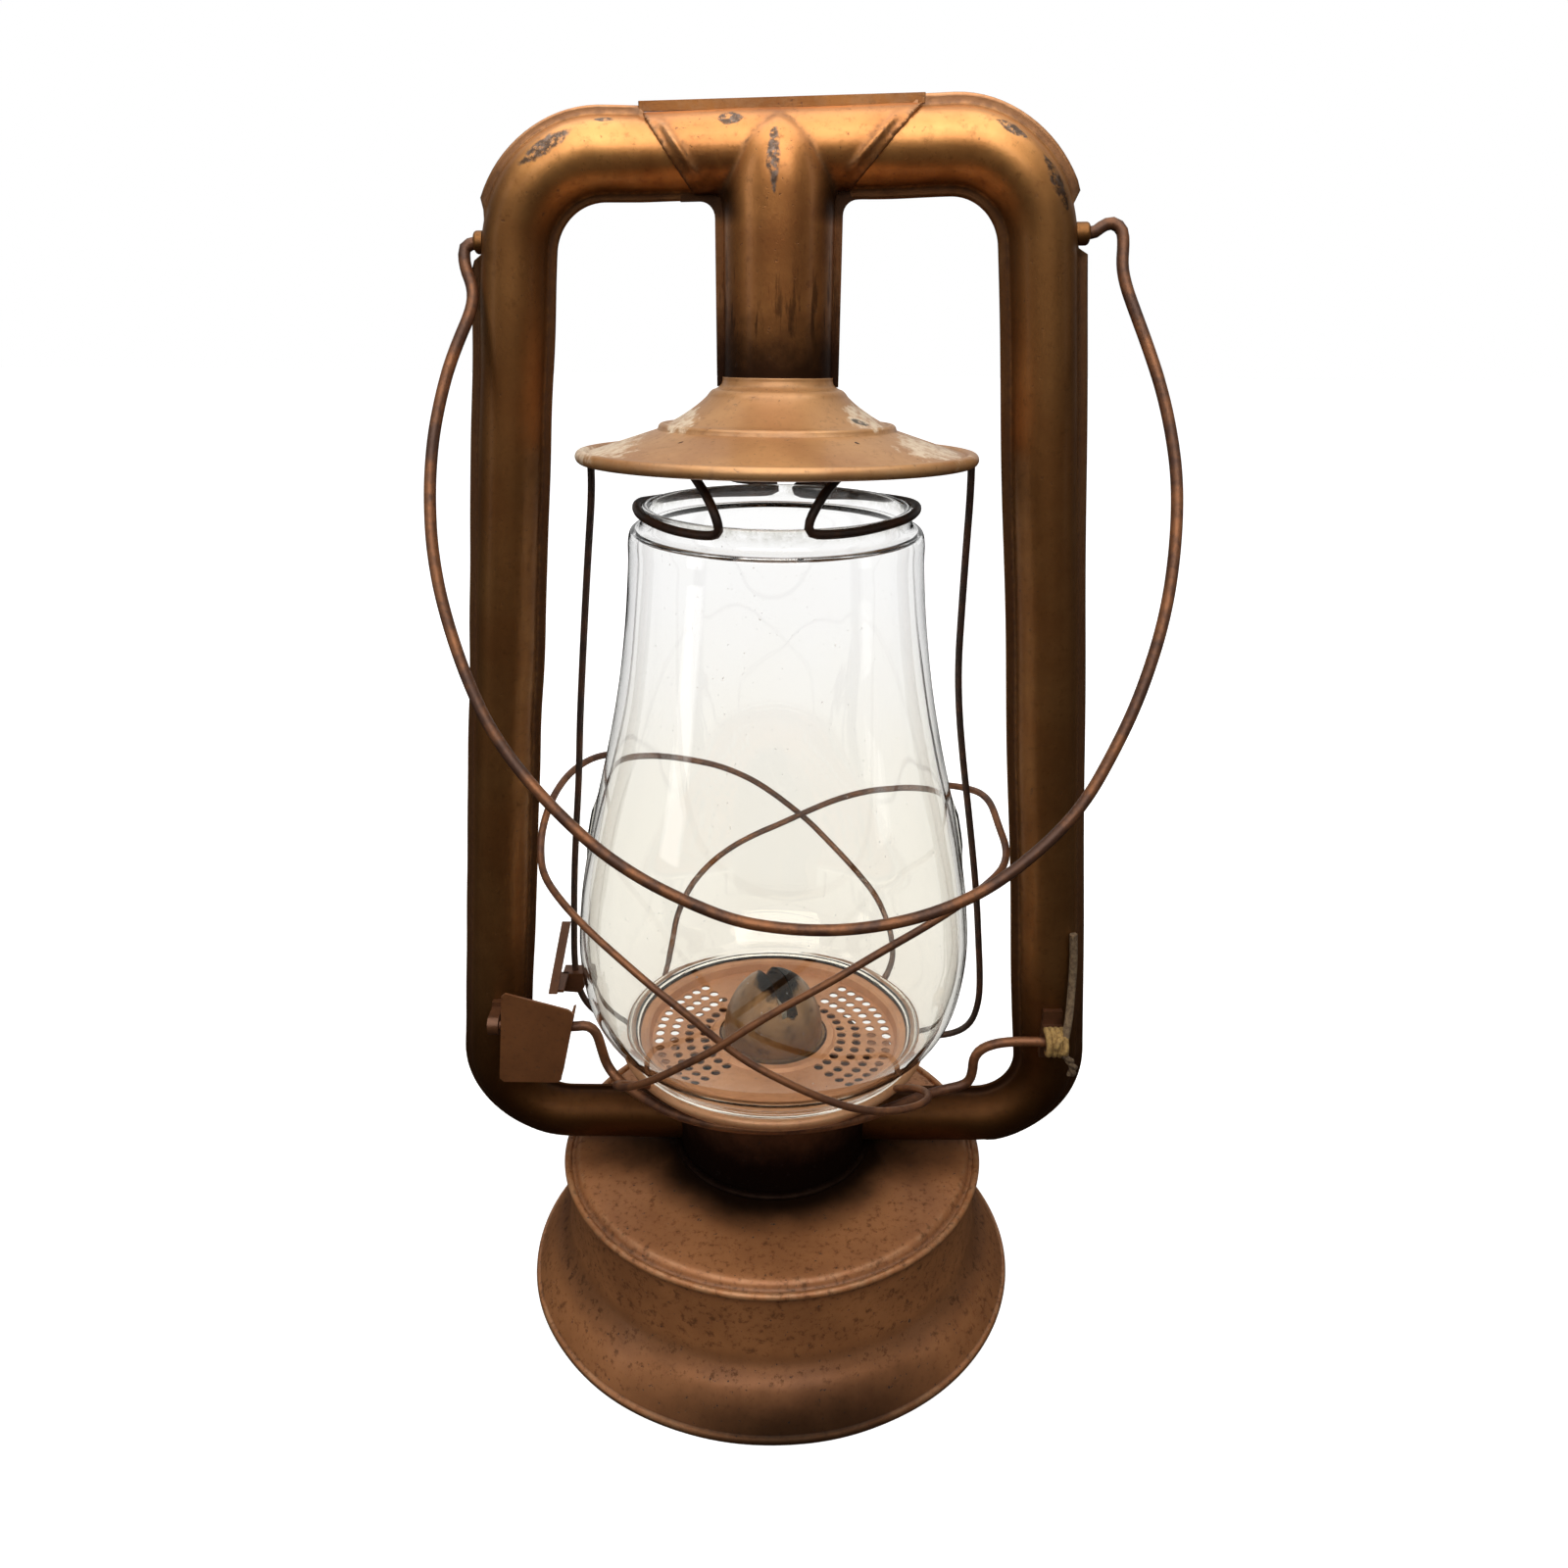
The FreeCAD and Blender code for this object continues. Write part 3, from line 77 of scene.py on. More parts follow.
# %% [markdown]
# ## Making meshes from arrays
# Most of the lantern is a profile carried round an axis or along a line, so a piece is a grid of
# points. One function turns any such grid into a mesh. It closes the ends where asked, and turns
# the faces outwards by the sign of the volume that they enclose.

# %% Grids to meshes
def grid_faces(rows, columns, wrap_rows, wrap_columns):
    """Four-sided faces between each point of a grid and its next neighbours."""
    i = np.arange(rows if wrap_rows else rows - 1)[:, None]
    j = np.arange(columns if wrap_columns else columns - 1)[None, :]
    below, right = (i + 1) % rows, (j + 1) % columns
    quads = np.stack(np.broadcast_arrays(i * columns + j, i * columns + right, below * columns + right,
                                         below * columns + j), -1)
    return quads.reshape(-1, 4)


def enclosed(points, faces):
    """Signed volume inside faces of four corners: a sum of the pyramids from the origin."""
    a, b, c, d = (points[faces[:, k]] for k in range(4))
    first = np.einsum("ij,ij->i", a, np.cross(b, c)).sum()
    return first + np.einsum("ij,ij->i", a, np.cross(c, d)).sum()


def mark(mesh, name, values):
    """Store one number for each point of a mesh, for its shader."""
    layer = mesh.attributes.new(name, "FLOAT", "POINT")
    layer.data.foreach_set("value", np.asarray(values, np.float32))


LEAST_BEND = 0.12
BEND_RANGE = 0.6
NEIGHBOUR_SHARE = 0.6


def mark_creases(mesh):
    """Mark the hollows, where dirt stays and the paint darkens them as painted shade, and the ridges, which
    rub bare.

    The bend at a point is how far a neighbour lies off its tangent plane, times two, over their distance
    squared: positive in a hollow, negative on a ridge.
    """
    points = np.empty(len(mesh.vertices) * 3, np.float32)
    mesh.vertices.foreach_get("co", points)
    points = points.reshape(-1, 3) / MM
    normals = np.empty(len(mesh.vertices) * 3, np.float32)
    mesh.vertex_normals.foreach_get("vector", normals)
    normals = normals.reshape(-1, 3)
    ends = np.empty(len(mesh.edges) * 2, np.int32)
    mesh.edges.foreach_get("vertices", ends)
    a, b = ends.reshape(-1, 2).T
    across = points[b] - points[a]
    length = np.maximum((across ** 2).sum(1), 0.01)
    bends = ((a, 2 * (across * normals[a]).sum(1) / length), (b, -2 * (across * normals[b]).sum(1) / length))
    for name, sign in (("hollow", 1), ("ridge", -1)):
        most = np.zeros(len(points))
        for end, bend in bends:
            np.maximum.at(most, end, sign * bend)
        level = np.clip((most - LEAST_BEND) / BEND_RANGE, 0, 1)
        spread = level.copy()
        for first, second in ((a, b), (b, a)):
            np.maximum.at(spread, first, NEIGHBOUR_SHARE * level[second])
        mark(mesh, name, spread)


def dress(name, mesh, finish, body, replaced):
    """Put a mesh in the scene as a smooth piece that rides on a body."""
    mesh.validate()
    mesh.shade_smooth()
    mark_creases(mesh)
    mesh.materials.append(finish)
    piece = bpy.data.objects.new(name, mesh)
    bpy.context.scene.collection.objects.link(piece)
    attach(piece, body)
    if replaced:
        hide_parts(*replaced)
    print(name, "has", len(mesh.polygons), "faces")
    return piece


def surface(name, points, finish, body, replaced=(), wrap_rows=False):
    """A piece from a grid of points in millimetres whose columns close on themselves.

    Its rows close too where asked, and otherwise both ends get a cap.
    """
    rows, columns = points.shape[:2]
    flat = points.reshape(-1, 3) * MM
    faces = grid_faces(rows, columns, wrap_rows, True)
    turned = enclosed(flat, faces) < 0
    if turned:
        faces = faces[:, ::-1]
    polygons = faces.tolist()
    if not wrap_rows:
        first, last = list(range(columns)), list(range((rows - 1) * columns, rows * columns))
        polygons += [first, last[::-1]] if turned else [first[::-1], last]
    mesh = bpy.data.meshes.new(name)
    mesh.from_pydata(flat.tolist(), [], polygons)
    return dress(name, mesh, finish, body, replaced)


# %% [markdown]
# ## Lines, lathes and bent wire
# Pressed rings come off a lathe in the real factory, and here too. Wire is bent round formers, so
# its line is straight runs with rounded corners. Old tin is never quite true, and an unevenness of
# a tenth of a millimetre, over waves of about 45 mm, is what makes its reflections look real.

# %% Lines and lathes
def through(points, steps):
    """A smooth line through points (Catmull-Rom: each piece leaves along its neighbours' chord)."""
    points = np.asarray(points, float)
    padded = np.vstack([2 * points[0] - points[1], points, 2 * points[-1] - points[-2]])
    before, here, there, after = (padded[k:len(padded) - 3 + k, None, :] for k in range(4))
    t = (np.arange(steps) / steps)[None, :, None]
    line = 0.5 * (2 * here + (there - before) * t
                  + (2 * before - 5 * here + 4 * there - after) * t ** 2
                  + (3 * here - before - 3 * there + after) * t ** 3)
    return np.vstack([line.reshape(-1, points.shape[1]), points[-1:]])


def rounded(points, steps=8):
    """A line whose corners are rounded from the middle of each run to the middle of the next."""
    points = np.asarray(points, float)
    middles = (points[1:] + points[:-1]) / 2
    t = (np.arange(steps + 1) / steps)[None, :, None]
    start, corner, end = middles[:-1, None, :], points[1:-1, None, :], middles[1:, None, :]
    curve = (1 - t) ** 2 * start + 2 * t * (1 - t) * corner + t ** 2 * end
    curve = curve[:, :-1].reshape(-1, points.shape[1])
    return np.vstack([points[:1], curve, middles[-1:], points[-1:]])


def evenly(line, step):
    """The same line with its points about `step` apart."""
    lengths = np.linalg.norm(np.diff(line, axis=0), axis=1)
    along = np.concatenate([[0], np.cumsum(lengths)])
    places = np.linspace(0, along[-1], max(4, round(along[-1] / step) + 1))
    return np.stack([np.interp(places, along, line[:, k]) for k in range(line.shape[1])], -1)


def arc(centre, radius, first, last, steps):
    """Points of a circle's arc from one angle to another, in degrees."""
    angle = np.radians(np.linspace(first, last, steps))
    return np.stack([centre[0] + radius * np.cos(angle), centre[1] + radius * np.sin(angle)], -1)


def inside_of(line, gauge):
    """The line moved to its right by the sheet's gauge."""
    along = np.gradient(line, axis=0)
    along /= np.linalg.norm(along, axis=1, keepdims=True)
    return line + gauge * np.stack([along[:, 1], -along[:, 0]], -1)


def uneven(points, height, wavelength, seed):
    """A gentle unevenness: the mean of six sine waves in directions fixed by the seed."""
    dice = np.random.default_rng(seed)
    waves = dice.normal(size=(6, 3))
    lengths = np.linalg.norm(waves, axis=1, keepdims=True)
    waves *= 2 * np.pi / wavelength * dice.uniform(0.6, 1.5, (6, 1)) / lengths
    return height * np.sin(points @ waves.T + dice.uniform(0, 6.3, 6)).mean(-1) * 2


LONG_WAVE = 45.0


def spun(profile, segments, wobble, seed):
    """A profile of (radius, height) turned about Z: x = r cos a, y = r sin a, z = h."""
    angle = np.linspace(0, 2 * np.pi, segments, endpoint=False)
    radius, height = profile[:, :1], profile[:, 1:]
    round_it = radius * np.cos(angle), radius * np.sin(angle), height + 0 * angle
    points = np.stack(np.broadcast_arrays(*round_it), -1)
    outward = np.stack([np.cos(angle), np.sin(angle), 0 * angle], -1)[None]
    return points + outward * uneven(points, wobble, LONG_WAVE, seed)[..., None]


TIP_PLACES = np.array([0.0, 0.06, 0.2, 0.45])
TIP_SIZES = np.array([0.55, 0.85, 0.95, 1.0])
START_SIDE = (0.3, 0.2, 0.93)


def wire(line, radius, sides=14, step=1.6):
    """A round wire: a circle square to the line at each point, line + r (side cos a + up sin a).

    The side direction is turned as little as possible on the way, and the rings shrink at both tips.
    """
    line = evenly(line, step)
    tips = TIP_PLACES * radius
    first, last = line[0], line[-1]
    start = first + (line[1] - first) / np.linalg.norm(line[1] - first) * tips[:, None]
    end = last + (line[-2] - last) / np.linalg.norm(line[-2] - last) * tips[:, None]
    line = np.vstack([start, line[1:-1], end[::-1]])
    along = np.gradient(line, axis=0)
    along /= np.linalg.norm(along, axis=1, keepdims=True)
    side = np.cross(along[0], START_SIDE)
    sides_out = []
    for tangent in along:
        side = side - tangent * (side @ tangent)
        side = side / np.linalg.norm(side)
        sides_out.append(side)
    side = np.array(sides_out)[:, None, :]
    up = np.cross(along[:, None, :], side)
    shrink = np.ones(len(line))
    shrink[:4] = TIP_SIZES
    shrink[-4:] = TIP_SIZES[::-1]
    angle = np.linspace(0, 2 * np.pi, sides, endpoint=False)[None, :, None]
    ring = side * np.cos(angle) + up * np.sin(angle)
    return line[:, None, :] + ring * (radius * shrink)[:, None, None]


print("line helpers ready")

# %% [markdown]
# ## Shader sums
# A finish is a sum of patterns. The small class below wraps a node's output, so that `1 - mask`
# or `dirt * 0.5` adds the Math node that works it out.

# %% Shader expressions
class Value:
    """A node's output, with +, - and * as Math nodes."""

    def __init__(self, shading, socket):
        self.shading = shading
        self.socket = socket

    def math(self, operation, a, b):
        return self.shading.node("ShaderNodeMath", {"operation": operation}, {0: a, 1: b})

    def __add__(self, other):
        return self.math("ADD", self, other)

    def __sub__(self, other):
        return self.math("SUBTRACT", self, other)

    def __rsub__(self, other):
        return self.math("SUBTRACT", other, self)

    def __mul__(self, other):
        return self.math("MULTIPLY", self, other)

    __radd__ = __add__
    __rmul__ = __mul__


class Shading:
    """Nodes of one material or of the world."""

    def __init__(self, tree):
        self.tree = tree
        self.tree.nodes.clear()

    def node(self, kind, settings=None, inputs=None, output=0):
        """Add a node: its settings first, then the values or links of its sockets."""
        made = self.tree.nodes.new(kind)
        for key, setting in (settings or {}).items():
            setattr(made, key, setting)
        for key, given in (inputs or {}).items():
            if isinstance(given, Value):
                self.tree.links.new(given.socket, made.inputs[key])
            else:
                made.inputs[key].default_value = given
        return Value(self, made.outputs[output]) if made.outputs else None

    def place(self):
        """The piece's own coordinates, in metres."""
        return self.node("ShaderNodeTexCoord", output="Object")

    def vector(self, operation, first, second, output=0):
        """A sum of two vectors by a Vector Math node."""
        return self.node("ShaderNodeVectorMath", {"operation": operation}, {0: first, 1: second}, output)

    def length(self, vector):
        """The length of a vector."""
        return self.node("ShaderNodeVectorMath", {"operation": "LENGTH"}, {0: vector}, output="Value")

    def noise(self, size, detail=4.0, roughness=0.55, stretch=(1, 1, 1)):
        """Cloudy noise from 0 to 1 with features of about `size` millimetres."""
        scale = [1 / (MM * size * part) for part in stretch]
        where = self.vector("MULTIPLY", self.place(), scale)
        return self.node("ShaderNodeTexNoise", None,
                         {"Vector": where, "Scale": 1.0, "Detail": detail, "Roughness": roughness})

    def step(self, value, low, high):
        """0 below `low`, 1 above `high`, and smooth between."""
        return self.node("ShaderNodeMapRange", {"interpolation_type": "SMOOTHSTEP"},
                         {"Value": value, "From Min": low, "From Max": high})

    def spot(self, centre, size, ragged=0.5, grain=3.0, core=0.72):
        """1 inside a ragged egg-shaped patch about a point, 0 outside, and smooth from `core` of its size."""
        moved = self.vector("ADD", self.place(), [-part * MM for part in centre])
        scaled = self.vector("MULTIPLY", moved, [1 / (part * MM) for part in size])
        rough_edge = self.length(scaled) + (self.noise(grain, 6.0) - 0.5) * ragged * 2
        return 1 - self.step(rough_edge, core, 1.0)

    def scrape(self, first, second, half):
        """1 inside a ragged lens-shaped scrape from one point to another, `half` millimetres each way."""
        start, run = Vector(first) * MM, (Vector(second) - Vector(first)) * MM
        away = self.vector("SUBTRACT", self.place(), start)
        share = self.vector("DOT_PRODUCT", away, run / run.length_squared, "Value")
        nearest = self.node("ShaderNodeVectorMath", {"operation": "SCALE"}, {0: run, "Scale": share})
        along = (share - 0.5) * 2
        reach = self.length(self.vector("SUBTRACT", away, nearest)) * (1 / (half * MM))
        lens = reach + along * along + (self.noise(2.4, 6.0) - 0.5) * 0.9
        return 1 - self.step(lens, 0.7, 1.0)

    def stored(self, name):
        """A number that the mesh holds for each point, or 0 where it holds none."""
        return self.node("ShaderNodeAttribute", {"attribute_name": name}, output="Fac")

    def most(self, values):
        """The largest of several masks."""
        top = values[0]
        for value in values[1:]:
            top = top.math("MAXIMUM", top, value)
        return top

    def mix(self, first, second, share):
        """A colour between two colours."""
        settings = {"data_type": "RGBA"}
        return self.node("ShaderNodeMix", settings, {0: share, 6: first, 7: second}, output=2)

    def height(self):
        """Height above the table in millimetres."""
        return self.node("ShaderNodeSeparateXYZ", None, {0: self.place()}, output=2) * (1 / MM)

    def from_axis(self):
        """Distance from the lantern's upright axis in millimetres."""
        return self.length(self.vector("MULTIPLY", self.place(), (1, 1, 0))) * (1 / MM)

    def bump(self, value, depth, strength):
        """The surface tilted by a height pattern whose full range is `depth` millimetres deep."""
        return self.node("ShaderNodeBump", None,
                         {"Height": value, "Distance": depth * MM, "Strength": strength})


def new_material(name):
    """An empty material and its shading."""
    material = bpy.data.materials.new(name)
    material.use_nodes = True
    return material, Shading(material.node_tree)


def finish_with(shading, sockets):
    """End a material in one Principled shader with these sockets."""
    shader = shading.node("ShaderNodeBsdfPrincipled", None, sockets)
    shading.node("ShaderNodeOutputMaterial", None, {"Surface": shader})


print("shader helpers ready")

# %% [markdown]
# ## The free end of twine
# A scrap of twine is tied to the right-hand strap. Its long end lies up the tube, and it is the
# only free cord on the lantern, so it is a soft curve of its own.

# %% Plain finishes and twine
def plain_finish(name, first, second, size, roughness, metallic, depth=0.08, stretch=(1, 1, 1)):
    """Two tones in clouds of one size with a matching bump."""
    material, shading = new_material(name)
    clouds = shading.noise(size, 6.0, 0.65, stretch)
    fine = shading.noise(size / 6, 4.0, 0.6, stretch)
    colour = shading.mix((*first, 1), (*second, 1), shading.step(clouds, 0.35, 0.68))
    shade = (*[part * 0.45 for part in second], 1)
    colour = shading.mix(colour, shade, shading.step(fine, 0.55, 0.8) * 0.6)
    finish_with(shading, {
        "Base Color": colour, "Roughness": roughness + (fine - 0.5) * 0.3, "Metallic": metallic,
        "Normal": shading.bump(clouds + fine, depth, 0.8)})
    return material


twine_yellow = plain_finish("twine", (0.47, 0.30, 0.10), (0.24, 0.14, 0.05), 1.0, 0.9, 0.0, 0.35)
twine_grey = plain_finish(
    "weathered twine", (0.20, 0.135, 0.075), (0.085, 0.055, 0.032), 1.0, 0.92, 0.0, 0.35)
print("finishes:", twine_yellow.name, "and", twine_grey.name)

# %% Twine up the tube
strand_points = [(88.0, -17.6, 97.0), (89.6, -13.4, 101.6), (90.4, -9.7, 107.0), (90.6, -8.3, 113.5),
                 (90.4, -7.5, 120.3), (89.7, -7.3, 127.0)]
strand_curve = bpy.data.curves.new("twine_up_the_tube", "CURVE")
strand_curve.dimensions = "3D"
spline = strand_curve.splines.new("NURBS")
spline.points.add(len(strand_points) - 1)
spline.points.foreach_set("co", [
    part for x, y, z in strand_points for part in (x * MM, y * MM, z * MM, 1.0)])
spline.order_u = 3
spline.use_endpoint_u = True
strand_curve.bevel_depth = 1.2 * MM
strand_curve.bevel_resolution = 4
strand_curve.use_fill_caps = True
strand_curve.materials.append(twine_grey)
strand = bpy.data.objects.new("twine_up_the_tube", strand_curve)
bpy.context.scene.collection.objects.link(strand)
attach(strand, "lantern_frame")
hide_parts("twine_strand")
print("twine follows", len(strand_points), "points")

# %% [markdown]
# ## The copper-bronze paint
# Someone once painted the whole lantern with copper-bronze powder in varnish. The flakes make a
# soft metallic sheen. Where hands and wire rub, the paint is worn to grey tin, and where soot and
# oil settle it goes nearly black. The same layers also carry painted shade, darkening hollows,
# undersides and low parts. One function mixes these layers, and each part says where.

# %% Copper-bronze paint
BARE_IRON = (0.028, 0.018, 0.013, 1)
SEAM_MAROON = (0.10, 0.032, 0.014, 1)
WORN_FOLD = (0.36, 0.17, 0.085, 1)
RUBBED_EDGE = (0.50, 0.30, 0.16, 1)
PALE_BRONZE = (0.90, 0.78, 0.60, 1)
DARK_TIN = (0.035, 0.028, 0.024, 1)
GREY_TIN = (0.16, 0.135, 0.12, 1)


def dark_places(shading, fine, specks, hollow_dirt_and_shade):
    """A mask of small pits, larger scabs, and dirt with painted shade in the hollows."""
    pits = shading.step(shading.noise(1.4, 3.0, 0.6), 0.655, 0.72) * specks
    scabs = shading.step(shading.noise(7.0, 7.0, 0.7), 0.66, 0.74) * specks
    # Hollows darken as dirt and as painted shade, where shade falls in a crease.
    hollow = shading.stored("hollow") * (0.3 + shading.step(fine, 0.3, 0.6) * 0.45) * hollow_dirt_and_shade
    return shading.most([pits, scabs, hollow])


def bare_tin(shading, scrapes):
    """A mask of the scrapes with flecks of paint left in them, and the tin's colour."""
    tin = shading.most([shading.scrape(*scrape) for scrape in scrapes])
    tin = tin * shading.step(shading.noise(1.6, 5.0, 0.7), 0.34, 0.52)
    return tin, shading.mix(DARK_TIN, GREY_TIN, shading.step(shading.noise(1.3, 5.0), 0.4, 0.7))


def copper_paint(name, bright, deep, soot_and_shade=None, specks=0.5, roughness=0.42, metal=0.8, scrapes=(),
                 pale_spots=(), hollow_dirt_and_shade=1.0, coat=0.25, smoke_and_shade_colour=(0.010, 0.008, 0.007)):
    """Bronze paint: two tones in clouds, dark specks, pale patches, scrapes to the tin, and soot with painted
    shade.
    """
    material, shading = new_material(name)
    clouds = shading.step(shading.noise(26.0, 5.0, 0.6), 0.3, 0.72)
    colour = shading.mix((*bright, 1), (*deep, 1), clouds)
    fine = shading.noise(2.2, 6.0, 0.7)
    shade = (*[part * 0.5 for part in deep], 1)
    colour = shading.mix(colour, shade, shading.step(fine, 0.52, 0.8) * 0.7)
    dark = dark_places(shading, fine, specks, hollow_dirt_and_shade)
    seam = shading.stored("seam") * 0.6
    colour = shading.mix(colour, SEAM_MAROON, seam)
    colour = shading.mix(colour, WORN_FOLD, shading.stored("rim") * 0.7)
    colour = shading.mix(colour, BARE_IRON, dark)
    rub = shading.stored("ridge") * shading.step(shading.noise(5.0, 6.0, 0.7), 0.42, 0.62) * (1 - seam)
    colour = shading.mix(colour, RUBBED_EDGE, rub * 0.35)
    rough = roughness + (fine - 0.5) * 0.25 + dark * 0.25
    metallic = metal - dark * 0.5
    varnish = coat - dark * coat
    for centre, size in pale_spots:
        patch = shading.spot(centre, size, 0.8, 3.5) * shading.step(fine, 0.3, 0.6)
        colour = shading.mix(colour, PALE_BRONZE, patch * 0.8)
        rough = rough + patch * 0.12
        metallic = metallic - patch * 0.35
    if scrapes:
        tin, grey = bare_tin(shading, scrapes)
        colour = shading.mix(colour, grey, tin * 0.9)
        rough = rough + tin * 0.08
    # Each part's mask darkens the colour here, for real soot and for painted shade together.
    if soot_and_shade is not None:
        smoke_and_shade = soot_and_shade(shading)
        colour = shading.mix(colour, (*smoke_and_shade_colour, 1), smoke_and_shade)
        rough = rough + smoke_and_shade * 0.2
        metallic = metallic + smoke_and_shade * (1 - metal)
        varnish = varnish - smoke_and_shade * coat
    skin = (fine - 0.5) * 0.5 + shading.noise(0.8, 3.0, 0.6) * 0.4 - dark * 1.2
    finish_with(shading, {
        "Base Color": colour, "Roughness": rough, "Metallic": metallic, "IOR": 1.5,
        "Coat Weight": varnish, "Coat Roughness": 0.22,
        "Normal": shading.bump(skin, 0.09, 0.7)})
    return material


def low_down(shading, full, none, size=9.0):
    """Darkening that thins out from one height to another: soot, and painted shade low down."""
    ragged = shading.height() + (shading.noise(size, 5.0) - 0.5) * 12
    return 1 - shading.step(ragged, full, none)


print("paint helpers ready")

# %% [markdown]
# ## The fount
# The oil fount is one pressed shell: a rolled shoulder, an upright wall, a soft step and a flared
# foot with a rolled edge. A closed profile with the sheet's real thickness is turned about Z, so
# the two rolls flow into the wall as they do in pressed tin. Its paint has painted shade round the
# air chamber, in the soft step and under the foot's roll, and a painted shadow under the tubes.
# Specks gather along the soft step, and the foot's front is brown with old oil.

# %% Paint on the fount
def fount_soot_and_shade(shading):
    """Painted shade at the chamber, step and foot roll, painted shadow under the tubes, specks, and oil on
    the foot.
    """
    from_chamber = shading.from_axis() + (shading.noise(16.0, 2.0) - 0.5) * 8
    # Painted shade: the fount top goes dark round the chamber, where the plate's shade falls.
    shade_round_chamber = (1 - shading.step(from_chamber, 33.0, 49.0)) * 0.97
    # Painted shadow of the tubes on the fount top.
    shadow_under_tubes = shading.spot((0, -8, 47), (82, 23, 8), 0.12, 9.0, 0.3) * 0.97
    on_step = shading.spot((0, 0, 16.5), (300, 300, 5.5), 0.4, 2.0, 0.2)
    step_specks = shading.step(shading.noise(3.0, 7.0, 0.75), 0.45, 0.62) * on_step * 0.7
    specks = shading.step(shading.noise(2.2, 6.0, 0.7), 0.5, 0.66) * 0.35
    # Painted shade in the concave soft step.
    step_shade = shading.spot((0, 0, 17), (300, 300, 7), 0.1, 12.0, 0.0) * 0.5
    foot_front = shading.spot((10, -84, 3), (80, 62, 22), 0.2, 16.0, 0.1) * 0.88
    # Painted shade on the underside of the foot's roll, darker towards the bottom.
    shade_under_foot_roll = (1 - shading.step(shading.height(), 1.3, 2.7)) * 0.75
    return shading.most([shade_round_chamber, shadow_under_tubes, step_specks, specks, step_shade, foot_front, shade_under_foot_roll])


paint_fount = copper_paint(
    "paint on the fount", (0.43, 0.178, 0.066), (0.30, 0.119, 0.043), soot_and_shade=fount_soot_and_shade, specks=1.0,
    roughness=0.48, metal=0.35, coat=0.15, hollow_dirt_and_shade=0.6, smoke_and_shade_colour=(0.014, 0.007, 0.004))
print("made", paint_fount.name)

# %% Fount shell
SHEET = 0.6
shoulder_roll = arc((66.6, 43.6), 1.1, 205, -52, 14)
wall_line = through([(66.95, 42.3), (66.4, 40.0), (66.35, 34.0), (66.45, 28.0), (66.8, 22.4), (67.5, 19.2),
                     (69.3, 16.6), (72.0, 13.6), (74.8, 9.2), (77.1, 4.8), (78.0, 2.9)], 6)
FOOT_ROLL = 1.45
foot_roll = arc((77.9, FOOT_ROLL), FOOT_ROLL, 70, -168, 18)
wall_inside = inside_of(wall_line, SHEET)[::-1]
fount_shell = spun(np.vstack([shoulder_roll, wall_line, foot_roll, wall_inside[2:-2]]), 240, 0.1, 3)
surface("fount_shell", fount_shell, paint_fount, "lantern_frame",
        ("fount_wall", "fount_foot_bead", "fount_shoulder_bead"), wrap_rows=True)

# %% Fount top
top_line = rounded([(65.7, 43.5), (64.4, 43.5), (63.6, 45.3), (62.2, 45.95), (58.0, 46.0), (46.6, 46.5),
                    (30.4, 46.9), (17.45, 46.9)], 6)
top_sheet = spun(np.vstack([top_line, inside_of(top_line, -SHEET)[::-1]]), 200, 0.05, 4)
surface("fount_top_sheet", top_sheet, paint_fount, "lantern_frame", ("fount_top",),
        wrap_rows=True)
print("fount foot is", round(2 * float(fount_shell[..., 0].max()), 1), "mm across")

# %% [markdown]
# ## Air chamber and globe plate
# The chamber stands on the fount and takes the air from both tubes. Above it lies the perforated
# plate that carries the glass, with a rolled rim and a skirt.

# %% Paint on the chamber and the plate
# The chamber's near-black colours and its darkening low down are painted shade under the plate.
chamber_paint_and_shade = copper_paint(
    "paint and painted shade on the air chamber", (0.15, 0.055, 0.020), (0.075, 0.027, 0.011), specks=0.7, roughness=0.5,
    metal=0.45, smoke_and_shade_colour=(0.008, 0.004, 0.003),
    soot_and_shade=lambda shading: low_down(shading, 56.0, 80.0, 7.0) * 0.95)
paint_plate = copper_paint(
    "paint on the globe plate", (0.60, 0.30, 0.145), (0.43, 0.20, 0.094), specks=0.4, roughness=0.5,
    metal=0.42)
print("made", chamber_paint_and_shade.name, "and", paint_plate.name)

# %% Air chamber
chamber_line = through([(29.85, 46.9), (29.9, 50.0), (30.2, 63.0), (30.6, 78.6), (30.4, 80.0)], 8)
chamber_wall = spun(np.vstack([chamber_line, inside_of(chamber_line, -0.5)[::-1]]), 160, 0.08, 6)
surface("air_chamber", chamber_wall, chamber_paint_and_shade, "lantern_frame", ("chamber_wall",),
        wrap_rows=True)
ring_line = rounded([(29.9, 46.9), (31.9, 46.9), (31.9, 47.8), (31.2, 48.4), (29.9, 48.5)], 4)
surface("chamber_ring", spun(ring_line, 128, 0.03, 7), chamber_paint_and_shade, "lantern_frame",
        ("chamber_foot_ring",), wrap_rows=True)

# %% Globe plate rim
rim_roll = arc((46.3, 87.05), 1.48, -120, 148, 18)
rim_line = np.vstack([[(45.06, 83.8), (45.25, 83.62), (45.46, 83.8), (45.5, 84.9)], rim_roll,
                      [(45.05, 87.0), (45.04, 84.5)]])
surface("plate_rim", spun(rim_line, 200, 0.06, 8), paint_plate, "globe_cage",
        ("globe_plate_rim",), wrap_rows=True)

# %% [markdown]
# ## Side tubes
# Each side tube was pressed in two halves and folded together, which leaves a flat seam along the
# inside and the outside of the bend. So the section is a circle with a thin fin on both sides, and
# the fins fade out where the real seams end and where the bail's ear comes through. The left bend
# lies a little lower than the right one, and its tube is a little thinner.

